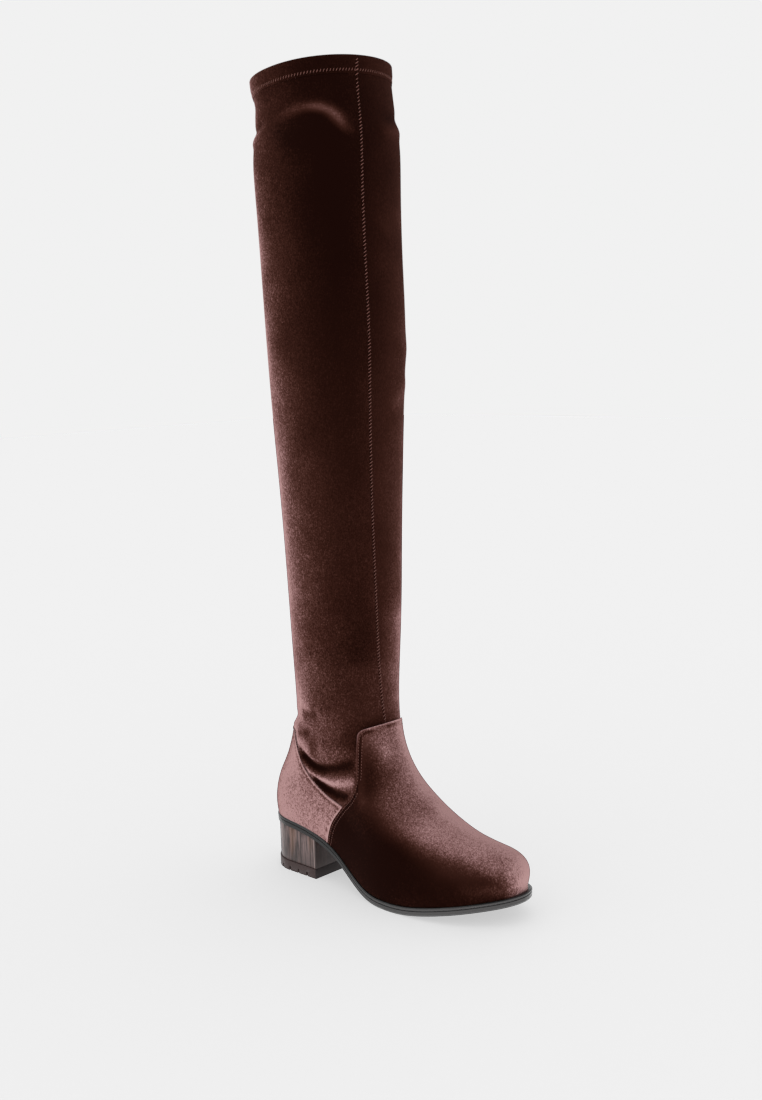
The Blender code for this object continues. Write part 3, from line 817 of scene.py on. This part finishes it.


# Each fold's shade is painted light on its ridge and painted shade in its trough; folds that lift
# nothing are patches of painted light and shade alone
FOLDS = (
    # The deep crescent on the outer side, the ridge under it and the hollow below, with painted
    # shade in the crescent and the hollow and a painted highlight on the ridge
    fold(-0.0034, 0.0042, -0.56, (50, 0.800), (60, 0.738), (72, 0.702), (86, 0.680),
         (104, 0.682), (124, 0.702), (141, 0.742), (172, 0.830), fade=0.22),
    fold(0.0020, 0.0030, 0.42, (56, 0.722), (70, 0.672), (89, 0.636), (106, 0.620),
         (124, 0.618), (143, 0.655), (160, 0.700), fade=0.20),
    fold(-0.0026, 0.0040, -0.62, (72, 0.612), (86, 0.590), (103, 0.568), (122, 0.552),
         (142, 0.550), (160, 0.560), fade=0.22),
    fold(0.0016, 0.0070, 0.10, (40, 0.870), (56, 0.830), (72, 0.800), (88, 0.780)),
    fold(0.0012, 0.0085, -0.08, (92, 0.800), (112, 0.815), (130, 0.850), (156, 0.900)),
    # Slack above the ankle, with patches of painted light and shade
    fold(0.0009, 0.0050, 0.14, (50, 1.025), (63, 1.030), (76, 1.036), (90, 1.040), fade=0.3),
    fold(0.0000, 0.0160, -0.10, (84, 1.120), (104, 1.060), (130, 1.000), fade=0.4),
    fold(-0.0012, 0.0046, -0.24, (56, 0.985), (70, 0.986), (82, 0.992), (104, 1.005)),
    fold(-0.0006, 0.0034, -0.20, (44, 0.838), (62, 0.862), (84, 0.884)),
    fold(0.0000, 0.0140, 0.16, (150, 1.350), (157, 1.200), (162, 1.060), (166, 0.960),
         fade=0.2),
    fold(0.0000, 0.0160, 0.20, (186, 1.700), (190, 1.300), (194, 0.980), fade=0.2),
    # The roll that hangs over the back of the counter
    fold(0.0020, 0.0046, 0.06, (-48, 0.885), (-20, 0.872), (12, 0.868), (40, 0.874),
         (58, 0.892)),
    fold(-0.0013, 0.0030, -0.20, (-44, 0.838), (0, 0.830), (35, 0.838), (55, 0.864)),
    fold(-0.0010, 0.0045, -0.06, (-44, 0.940), (0, 0.932), (40, 0.938), (66, 0.930)),
    # The inner side
    fold(-0.0024, 0.0044, -0.24, (222, 0.770), (240, 0.705), (262, 0.678), (284, 0.700),
         (310, 0.780)),
    fold(0.0014, 0.0034, 0.24, (224, 0.700), (244, 0.640), (266, 0.625), (290, 0.660)),
    fold(-0.0018, 0.0036, -0.24, (230, 0.560), (250, 0.565), (272, 0.580), (296, 0.630)),
    fold(0.0012, 0.0070, 0.08, (220, 0.850), (250, 0.790), (280, 0.790), (312, 0.860)),
    fold(-0.0010, 0.0050, -0.12, (235, 0.960), (262, 0.985), (290, 0.970)),
    fold(0.0008, 0.0050, 0.10, (240, 1.030), (270, 1.040), (300, 1.025)),
)


def top_fold(amount, half_width, shade, *rows, fade=0.25):
    """A fold of the thigh, its rise a share of the rim's height."""
    return fold(amount, half_width, shade, *rows, fade=fade, over=RIM_HEIGHT)


# As with the folds of the ankle, each shade is painted light on a ridge and painted shade in a
# trough
TOP_FOLDS = (
    # The pouch below the rim on the outer side, with a painted highlight along its shoulder and
    # painted shade below it
    top_fold(0.0018, 0.0040, 0.34, (90, 0.9255), (106, 0.9350), (120, 0.9400), (133, 0.9400),
             (142, 0.9330), (149, 0.9190), (156, 0.9030), fade=0.3),
    top_fold(0.0000, 0.0034, 0.26, (116, 0.9390), (130, 0.9400), (142, 0.9330), (149, 0.9190),
             (156, 0.9040), fade=0.3),
    top_fold(0.0014, 0.0120, -0.14, (86, 0.9000), (106, 0.9090), (124, 0.9130), (138, 0.9080),
             (148, 0.8950)),
    top_fold(0.0000, 0.0070, 0.05, (70, 0.9480), (100, 0.9550), (130, 0.9580), (152, 0.9540)),
    # The step that the slack makes at the back of the thigh
    top_fold(0.0012, 0.0036, 0.14, (14, 0.9120), (38, 0.9125), (62, 0.9150), (80, 0.9230)),
    top_fold(-0.0011, 0.0030, -0.16, (16, 0.9240), (40, 0.9245), (64, 0.9270), (82, 0.9340)),
    top_fold(-0.0008, 0.0060, -0.05, (20, 0.9500), (60, 0.9560), (100, 0.9620)),
    # A slack place beside the seam at the knee
    top_fold(0.0007, 0.0060, 0.13, (180, 0.590), (194, 0.604), (208, 0.618), (224, 0.630)),
    top_fold(0.0009, 0.0110, 0.00, (192, 0.656), (210, 0.664), (232, 0.664)),
    top_fold(0.0004, 0.0090, 0.09, (176, 0.800), (190, 0.812), (206, 0.830)),
    # The inner side of the thigh
    top_fold(0.0012, 0.0050, 0.14, (176, 0.9130), (200, 0.9180), (232, 0.9210), (262, 0.9150)),
    top_fold(-0.0010, 0.0044, -0.12, (180, 0.9290), (206, 0.9340), (236, 0.9370), (262, 0.9300)),
    top_fold(0.0008, 0.0090, 0.05, (270, 0.9060), (300, 0.9020), (330, 0.9070)),
)

# Painted light and shade by height up the shaft: lighter in its middle, darker just above the
# ankle and towards the rim
SHAFT_SHADE = table(
    "rise shade",
    (0.10, 0.00),
    (0.20, 0.03),
    (0.27, -0.05),
    (0.37, 0.05),
    (0.48, 0.09),
    (0.60, 0.06),
    (0.72, 0.01),
    (0.84, -0.04),
    (1.00, -0.08),
)


def folds_at(folds, turn, z):
    """The lift and the shade of all the folds at points given by turn and height."""
    lift = np.zeros(len(turn))
    shade = np.zeros(len(turn))
    for rows, amount, half_width, tone, fade, over in folds:
        run = {"run": np.linspace(0.0, 1.0, len(rows["turn"])), **rows}
        at = np.linspace(0.0, 1.0, 60)
        line_turn = smooth_read(run, at, "run", "turn")
        line_z = smooth_read(run, at, "run", "rise") * over
        close = np.abs(z - line_z.mean()) < np.ptp(line_z) + 4 * half_width
        middle = line_turn.mean()
        near = (turn[close] - middle + 180.0) % 360.0 - 180.0 + middle
        best = np.full(len(near), np.inf)
        share = np.zeros(len(near))
        for a, t, h in zip(at, line_turn, line_z):
            far = np.hypot(np.radians(near - t) * LEG_RADIUS, z[close] - h)
            closer = far < best
            best = np.where(closer, far, best)
            share = np.where(closer, a, share)
        ends = blend(share, 0.0, fade) * blend(1.0 - share, 0.0, fade)
        profile = np.exp(-((best / half_width) ** 2)) * ends
        lift[close] += amount * profile
        shade[close] += tone * profile
    return lift, shade


def slack(skin):
    """Lays the folds into the shaft, where no panel holds it smooth, and records their painted
    light and shade, with that by height.
    """
    co = places(skin.data)
    turn, z, out = turn_and_rise(co)
    free = np.ones(len(co))
    for outline, line in (
        (vamp_outline(), vamp_line()),
        (counter_outline(), edge_line(COUNTER_EDGE)),
    ):
        under = within(outline, co[:, 0], z)
        clear = blend(distance_to(line, co[:, 0], z), 0.0, FOLD_EASE)
        free = np.minimum(free, np.where(under, 0.0, clear))
    lift, shade = folds_at((*FOLDS, *TOP_FOLDS), turn, z)
    co[:, :2] += out * (lift * free)[:, None]
    put(skin.data, co)
    # Painted light and shade by height
    height_shade = smooth_read(SHAFT_SHADE, z / RIM_HEIGHT, "rise", "shade")
    record_shade(skin, shade * free + height_shade)


# The lie of the pile, and painted light and shade

# Which way the pile leans, partly the pile's own way and partly painted light and shade: on the
# shaft at heights that are shares of the rim's, and on the foot on its sides and on its top,
# where the top takes painted light as if lit from above
PILE_LEAN_AND_LIGHT = {
    "outer": (
        (0.22, (-0.12, -0.08, -0.28)),
        (0.50, (0.04, -0.12, -0.18)),
        (0.80, (0.08, -0.12, -0.07)),
        (1.00, (0.20, -0.20, 0.00)),
    ),
    "inner": (
        (0.20, (0.24, -0.08, -0.28)),
        (0.35, (0.38, -0.22, -0.18)),
        (0.50, (0.52, -0.30, -0.12)),
        (1.00, (0.90, -0.62, -0.02)),
    ),
    "vamp": ((0.46, 0.10, 0.02), (-0.14, 0.54, 0.56)),
    "counter": ((-0.52, 0.00, -0.12), (-0.52, 0.00, -0.12)),
}
# The way the top of the foot faces: faces turned this way take painted light as if lit from above
FOOT_TOP = (0.60, 0.45, 0.65)
FOOT_TOP_SHARE = (-0.26, 0.62)  # from the sides to the top, along the way of FOOT_TOP
# Where the sides of the foot begin, from the middle outwards and inwards in metres, and where
# the toe's tip begins, as a share of the sole's length
OUTER_SIDE = (-0.004, 0.014)
INNER_SIDE = (0.019, 0.034)
TOE_TIP = (0.94, 0.98)
BACK_TURN = 275.0  # the inner side's lean ends here, and fades out over so many degrees
BACK_FADE = 50.0

# Bands beside a panel's cut edge: a painted highlight along the turned edge, and painted shade in
# the next band where the stitches press the pile. Shade, distance of its middle from the edge and
# reach, in metres
EDGE_BANDS = ((0.32, 0.0, 0.0011), (-0.30, 0.0026, 0.0008))

# Strokes on the vamp's sides, partly brushed nap and partly painted light and shade, the dark one
# painted shade
# low down by the sole: shade, reach in metres and points as ahead and rise, in the same shares as
# the outlines
VAMP_STROKES = (
    (0.25, 0.0115, ((0.530, 0.550), (0.600, 0.470), (0.680, 0.430), (0.740, 0.370),
                    (0.800, 0.310), (0.880, 0.290), (0.940, 0.290), (0.985, 0.225))),
    (0.22, 0.0060, ((0.445, 0.900), (0.450, 0.740), (0.465, 0.600), (0.480, 0.560))),
    (0.34, 0.0110, ((0.465, 0.930), (0.510, 0.840))),
    (-0.24, 0.0300, ((0.400, 0.200), (0.470, 0.230), (0.540, 0.170))),
)


def record(piece, name, kind, field, values):
    """Writes a value for each point of a piece, for its material to read."""
    layers = piece.data.attributes
    layer = layers.get(name) or layers.new(name, kind, "POINT")
    layer.data.foreach_set(field, values)


def record_shade(piece, shade):
    record(piece, "shade", "FLOAT", "value", shade)


def inner_side(co):
    """One on the inner side of the foot, where the nap mirrors the outer side's."""
    return blend(co[:, 1], *INNER_SIDE)


def vamp_stroke_shade(co):
    """The shade of the vamp's strokes of brushed nap and painted light and shade, dying away over
    the top of the foot but for the tip.
    """
    shade = np.zeros(len(co))
    for tone, reach, line in VAMP_STROKES:
        far = distance_to([side_point(*point) for point in line], co[:, 0], co[:, 2])
        shade += tone * np.exp(-((far / reach) ** 2))
    ahead = (co[:, 0] - SOLE_REAR) / SOLE_LENGTH
    sides = blend(-co[:, 1], *OUTER_SIDE) + inner_side(co)
    return shade * np.maximum(sides, blend(ahead, *TOE_TIP))


def edge_shade(piece):
    """The painted highlight and painted shade of the bands beside the panels' cut edges."""
    co = places(piece.data)
    lines = (vamp_line(), edge_line(COUNTER_EDGE))
    far = np.minimum(*[distance_to(line, co[:, 0], co[:, 2]) for line in lines])
    return sum(
        shade * np.exp(-(((far - middle) / reach) ** 2)) for shade, middle, reach in EDGE_BANDS
    )


def panel_shade(piece, part):
    strokes = vamp_stroke_shade(places(piece.data)) if part == "vamp" else 0.0
    return edge_shade(piece) + strokes


def lean_and_light(piece, part):
    """Writes the way the pile leans on a piece of the shaft or of the foot, with painted light
    and shade laid into it.
    """
    co = places(piece.data)
    turn, z, _ = turn_and_rise(co)
    if part == "shaft":
        rise = z / RIM_HEIGHT
        seam = smooth_read(SEAM_TURN, rise, "rise", "turn")
        past_seam = blend(turn - seam, -1.0, 1.0) * blend(BACK_TURN - turn, 0.0, BACK_FADE)
        way = np.zeros_like(co)
        for side, weight in (("outer", 1.0 - past_seam), ("inner", past_seam)):
            heights = [height for height, _ in PILE_LEAN_AND_LIGHT[side]]
            leans = np.array([lean_way for _, lean_way in PILE_LEAN_AND_LIGHT[side]])
            for axis in range(3):
                way[:, axis] += weight * np.interp(rise, heights, leans[:, axis])
    else:
        low, high = np.array(PILE_LEAN_AND_LIGHT[part])
        mirror = np.ones_like(co)
        mirror[:, 1] = 1.0 - 2.0 * inner_side(co)
        top = (read(piece.data.vertex_normals, "vector", 3) * mirror) @ np.array(FOOT_TOP)
        share = blend(top, *FOOT_TOP_SHARE)[:, None]
        way = (low + share * (high - low)) * mirror
    record(piece, "lay_and_light", "FLOAT_VECTOR", "vector", way.ravel())


# The pieces


def make_upper():
    """The skin of the upper, with its folds."""
    skin = build_skin()
    slack(skin)
    return skin


def make_panels(skin):
    """The vamp and the counter, by the names of their solids."""
    outlines = {"vamp": vamp_outline(), "counter": counter_outline()}
    return {part: panel(skin, part + "_panel", shape) for part, shape in outlines.items()}


# Distances of the stitch rows from a panel's cut edge, and a place well inside each panel
VAMP_ROWS = (0.0013, 0.0042)
VAMP_INSIDE = (0.15, 0.0, 0.02)
COUNTER_ROWS = (0.0024,)
COUNTER_INSIDE = (0.0, 0.0, 0.03)
EDGE_SHIFT = -0.0004  # from the cut edge onto the panel
CAST_FROM = 0.2  # rays towards the boot start this far out


def cast_line(surface, line):
    """A side-view line laid on both sides of the foot, as one path over the front."""
    sides = []
    for sign in (-1, 1):
        side = []
        for x, z in line:
            hit = surface.ray_cast(Vector((x, sign * CAST_FROM, z)), Vector((0.0, -sign, 0.0)))[0]
            if hit:
                side.append(hit)
        sides.append(side)
    return np.array([*sides[0], *reversed(sides[1])])


def inward_rows(surface, path, inside, distances):
    """Paths on a panel's face, each at its own distance in from the cut edge."""
    step = EDGE_STITCH["step"]
    edge = relaxed(evenly(path, step / 2), 6)
    spots, way, normal = frames_on(edge, surface)
    inward = np.cross(normal, way)
    inward *= np.sign(((np.array(inside) - spots) * inward).sum())
    for distance in distances:
        row = evenly(relaxed(spots + inward * distance, 8), step)
        yield frames_on(row, surface)


def stitch_rows(panels):
    """The stitch rows beside the cut edges of the vamp and the counter."""
    vamp = surface_of(panels["vamp"])
    path = cast_line(vamp, evenly_flat(vamp_line(), EDGE_SHIFT))
    yield from inward_rows(vamp, path, VAMP_INSIDE, VAMP_ROWS)
    counter = surface_of(panels["counter"])
    path = cast_line(counter, evenly_flat(edge_line(COUNTER_EDGE), EDGE_SHIFT)[::-1])
    yield from inward_rows(counter, path, COUNTER_INSIDE, COUNTER_ROWS)


def evenly_flat(line, drop):
    """A side-view line at even steps, moved a little to keep it on its panel."""
    line = np.array(line)
    step = np.gradient(line, axis=0)
    step /= np.linalg.norm(step, axis=1, keepdims=True)
    moved = line + drop * np.stack([-step[:, 1], step[:, 0]], axis=1)
    path = np.concatenate([moved, np.zeros((len(moved), 1))], axis=1)
    return evenly(path, 0.0008)[:, :2]


def make_edge_stitches(panels):
    return stitches("edge_stitches", EDGE_STITCH, stitch_rows(panels))


# The hem, in metres: its height, how far up its outer face thins down to the skin, how far
# off the skin its edge ends, what lies closer stays, and how far below the rim it is sewn
HEM_HEIGHT = 0.0135
HEM_THINNING = 0.008
HEM_CLEAR = 0.0003
HEM_CLOSE = 0.00035
HEM_SEWN = 0.0110
HEM_RADIUS = 0.055
RIM_UNEVEN = 0.0003  # the rim's points lie this close to its plane


def rim_plane(co):
    """The height of the slanting rim over any place, from the hem's upper points."""
    flat = np.stack([co[:, 0], co[:, 1], np.ones(len(co))], axis=1)
    chosen = np.ones(len(co), bool)
    for _ in range(12):
        plane = np.linalg.lstsq(flat[chosen], co[chosen, 2], rcond=None)[0]
        above = co[:, 2] - flat @ plane
        if above.max() < RIM_UNEVEN:
            break
        chosen &= above > 0.0
    return lambda at: at[:, 0] * plane[0] + at[:, 1] * plane[1] + plane[2]


def make_hem(skin):
    """The turned hem, whose lower edge dies away into the shaft."""
    hem = finer_copy("collar_hem", "collar_fold")
    rim = rim_plane(places(hem.data))
    crease(hem, sharp_edges(hem, SHARP_ANGLE))
    subdivide(hem, 2)
    rounded(hem, CUT_EDGE_ROUND)
    hem.data.materials.append(MATERIALS["velvet"])
    co = places(hem.data)
    above = co[:, 2] - (rim(co) - HEM_HEIGHT)
    surface = surface_of(skin)
    for i in np.flatnonzero(above < HEM_THINNING):
        spot, normal, _, height = surface.find_nearest(Vector(co[i]))
        keep = 0.1 + 0.9 * blend(above[i], 0.0, HEM_THINNING)
        if height > HEM_CLOSE:
            co[i] = spot + normal * (HEM_CLEAR + (height - HEM_CLEAR) * keep)
    put(hem.data, co)
    record_shade(hem, np.zeros(len(co)))
    return hem, rim


def make_hem_stitches(hem, rim):
    """A ring of steep stitches round the hem, level with the rim."""
    surface = surface_of(hem)
    middle = Vector((*SHAFT_MIDDLE, 0.0))
    ring = []
    for turn in np.radians(np.linspace(0.0, 360.0, 721)):
        out = Vector((-math.cos(turn), -math.sin(turn), 0.0))
        start = middle + CAST_FROM * out
        start.z = rim(np.array([middle + HEM_RADIUS * out]))[0] - HEM_SEWN
        ring.append(surface.ray_cast(start, -out)[0])
    row = frames_on(evenly(np.array(ring), HEM_STITCH["step"])[:-1], surface)
    return stitches("hem_stitches", HEM_STITCH, [row])


# How far round the shaft the front seam lies on its way up, in degrees from the back
SEAM_TURN = table(
    "rise turn",
    (0.210, 173.6),
    (0.250, 171.0),
    (0.295, 168.6),
    (0.370, 166.6),
    (0.490, 164.6),
    (0.680, 163.6),
    (0.900, 163.0),
    (1.000, 164.6),
)

# The cord under the front seam, in metres
RIDGE_FOOT = 0.1405
RIDGE_BELOW_RIM = 0.0025
RIDGE_STEP = 0.002
RIDGE_RADIUS = 0.0011
RIDGE_SUNK = 0.0006
RIDGE_SHADE = -0.04
FAR_WALL = 0.17  # a ray that goes on for longer has missed the near wall


def make_ridge(skin, hem):
    """The raised seam up the front of the shaft, from the vamp over the hem to the rim."""
    layers = [surface_of(skin), surface_of(hem)]
    spots = []
    outs = []
    for z in np.arange(RIDGE_FOOT, RIM_HEIGHT - RIDGE_BELOW_RIM, RIDGE_STEP):
        turn = math.radians(float(smooth_read(SEAM_TURN, z / RIM_HEIGHT, "rise", "turn")))
        out = Vector((-math.cos(turn), -math.sin(turn), 0.0))
        start = Vector((*SHAFT_MIDDLE, z)) + CAST_FROM * out
        hits = [layer.ray_cast(start, -out)[0] for layer in layers]
        near = [hit for hit in hits if hit and (hit - start).length < FAR_WALL]
        if near:
            spots.append(min(near, key=lambda hit: (hit - start).length))
            outs.append(out)
    spots = relaxed(np.array(spots), 3)
    outs = np.array(outs)
    ridge = cord_along("front_ridge", spots - RIDGE_SUNK * outs, RIDGE_RADIUS, 10)
    ridge.data.materials.append(MATERIALS["velvet"])
    record_shade(ridge, np.full(len(ridge.data.vertices), RIDGE_SHADE))
    outside = spots + 0.01 * outs
    return ridge, outside


def make_seam_stitches(ridge, path):
    row = frames_on(evenly(path, SEAM_STITCH["step"]), surface_of(ridge))
    return stitches("seam_stitches", SEAM_STITCH, [row])


# The pieces that only get smoother, with softer edges: solid, name, slot, subdivisions and
# width of the rounded edges
PLAIN_PIECES = (
    ("outsole", "sole_unit", "sole", 2, 0.0003),
    ("insole", "footbed", "lining", 2, 0.0003),
    ("heel", "heel_block", "heel_stack", 2, 0.0005),
    ("heel_lift", "top_piece", "lift", 0, 0.0002),
)
PLAIN_SHARP = 28  # what is a sharp edge on these, in degrees
SMOOTH_ANGLE = 45


def plain_piece(solid, name, material, levels, width):
    piece = finer_copy(solid, name)
    if levels:
        crease(piece, sharp_edges(piece, PLAIN_SHARP))
        subdivide(piece, levels)
    rounded(piece, width)
    piece.data.materials.append(MATERIALS[material])
    return piece


def give(piece, slot_name, *stands_for):
    """Finishes a piece: it rides on the boot and stands for its solids. Its slot name is not
    used.
    """
    only(piece)
    bpy.ops.object.shade_smooth_by_angle(angle=math.radians(SMOOTH_ANGLE))
    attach(piece, "root")
    if stands_for:
        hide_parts(*stands_for)


# The stage

BACKGROUND = (0.879, 0.879, 0.879)
FLOOR_SIZE = 12.0
FLOOR_LIGHT = 3.6

# The lamps: name, place, aim, size and power
LAMPS = (
    ("key", (-1.1, -1.3, 1.6), (0.0, 0.0, 0.30), (1.4, 1.8), 19.0),
    ("fill", (1.5, -0.2, 1.4), (0.05, 0.0, 0.1), (1.2, 1.2), 7.0),
)


def make_camera():
    """The camera, turned from level and straight at the boot by its yaw, pitch and roll."""
    turn = math.radians(CAMERA_TURN)
    yaw, pitch, roll = (math.radians(a) for a in (CAMERA_YAW, CAMERA_PITCH, CAMERA_ROLL))
    away = Vector((math.cos(turn), -math.sin(turn), 0.0))
    place = Vector((CAMERA_FOOT, 0.0, CAMERA_HEIGHT)) + away * CAMERA_FAR
    level = Matrix.Rotation(yaw, 3, "Z") @ -away
    ahead = level * math.cos(pitch) + Vector((0.0, 0.0, -math.sin(pitch)))
    right = ahead.cross(Vector((0.0, 0.0, 1.0))).normalized()
    up = right.cross(ahead)
    axes = (
        right * math.cos(roll) + up * math.sin(roll),
        up * math.cos(roll) - right * math.sin(roll),
        -ahead,
    )
    data = bpy.data.cameras.new("camera")
    data.sensor_fit = "AUTO"
    data.sensor_width = 36.0
    data.lens = FOCAL_PIXELS / PICTURE_HEIGHT * data.sensor_width
    data.clip_start = 0.01
    data.dof.use_dof = False
    camera = placed("camera", data)
    camera.matrix_world = Matrix.Translation(place) @ Matrix(axes).transposed().to_4x4()
    bpy.context.scene.camera = camera


def make_light(name, place, aim, size, power, leaves_out):
    """A soft box lamp that leaves out the floor, so that the boot's shadow stays faint."""
    data = bpy.data.lights.new(name, "AREA")
    data.shape = "RECTANGLE"
    data.size, data.size_y = size
    data.energy = power
    light = placed(name, data)
    light.light_linking.receiver_collection = leaves_out
    light.location = place
    light.rotation_euler = (Vector(aim) - Vector(place)).to_track_quat("-Z", "Y").to_euler()


def make_floor():
    bpy.ops.mesh.primitive_plane_add(size=FLOOR_SIZE)
    floor = bpy.context.active_object
    floor.name = "floor"
    floor.data.materials.append(new_material("floor", BACKGROUND, 0.9)[0])
    floor.is_shadow_catcher = True
    return floor


def receivers(name, thing, state):
    """A set that holds the one thing a lamp reaches (INCLUDE) or leaves out (EXCLUDE)."""
    lit = bpy.data.collections.new(name)
    lit.objects.link(thing)
    lit.collection_objects[0].light_linking.link_state = state
    return lit


def soften_shadow(floor):
    """Light on the floor alone that nothing blocks."""
    data = bpy.data.lights.new("floor_light", "SUN")
    data.energy = FLOOR_LIGHT
    data.use_shadow = False
    light = placed("floor_light", data)
    light.light_linking.receiver_collection = receivers("floor_only", floor, "INCLUDE")


def make_world():
    world = bpy.data.worlds.new("studio")
    world.use_nodes = True
    light = world.node_tree.nodes["Background"]
    light.inputs["Color"].default_value = (*BACKGROUND, 1.0)
    light.inputs["Strength"].default_value = 1.0
    bpy.context.scene.world = world
    bpy.context.scene.view_settings.view_transform = "Standard"


# The boot, piece by piece

skin = make_upper()
panels = make_panels(skin)
rounded(skin, CUT_EDGE_ROUND, SHARP_ANGLE)
lean_and_light(skin, "shaft")
give(skin, "velvet", "upper")
for part, piece in panels.items():
    lean_and_light(piece, part)
    record_shade(piece, panel_shade(piece, part))
    give(piece, "velvet", part)
give(make_edge_stitches(panels), "velvet")

hem, rim = make_hem(skin)
lean_and_light(hem, "shaft")
give(hem, "velvet", "collar_hem")
give(make_hem_stitches(hem, rim), "velvet")

ridge, ridge_path = make_ridge(skin, hem)
lean_and_light(ridge, "shaft")
give(ridge, "velvet", "front_seam")
give(make_seam_stitches(ridge, ridge_path), "velvet")

for solid, name, slot, levels, width in PLAIN_PIECES:
    give(plain_piece(solid, name, slot, levels, width), slot, solid)

make_camera()
floor = make_floor()
leaves_out = receivers("all_but_floor", floor, "EXCLUDE")
soften_shadow(floor)
make_world()
for lamp in LAMPS:
    make_light(*lamp, leaves_out)
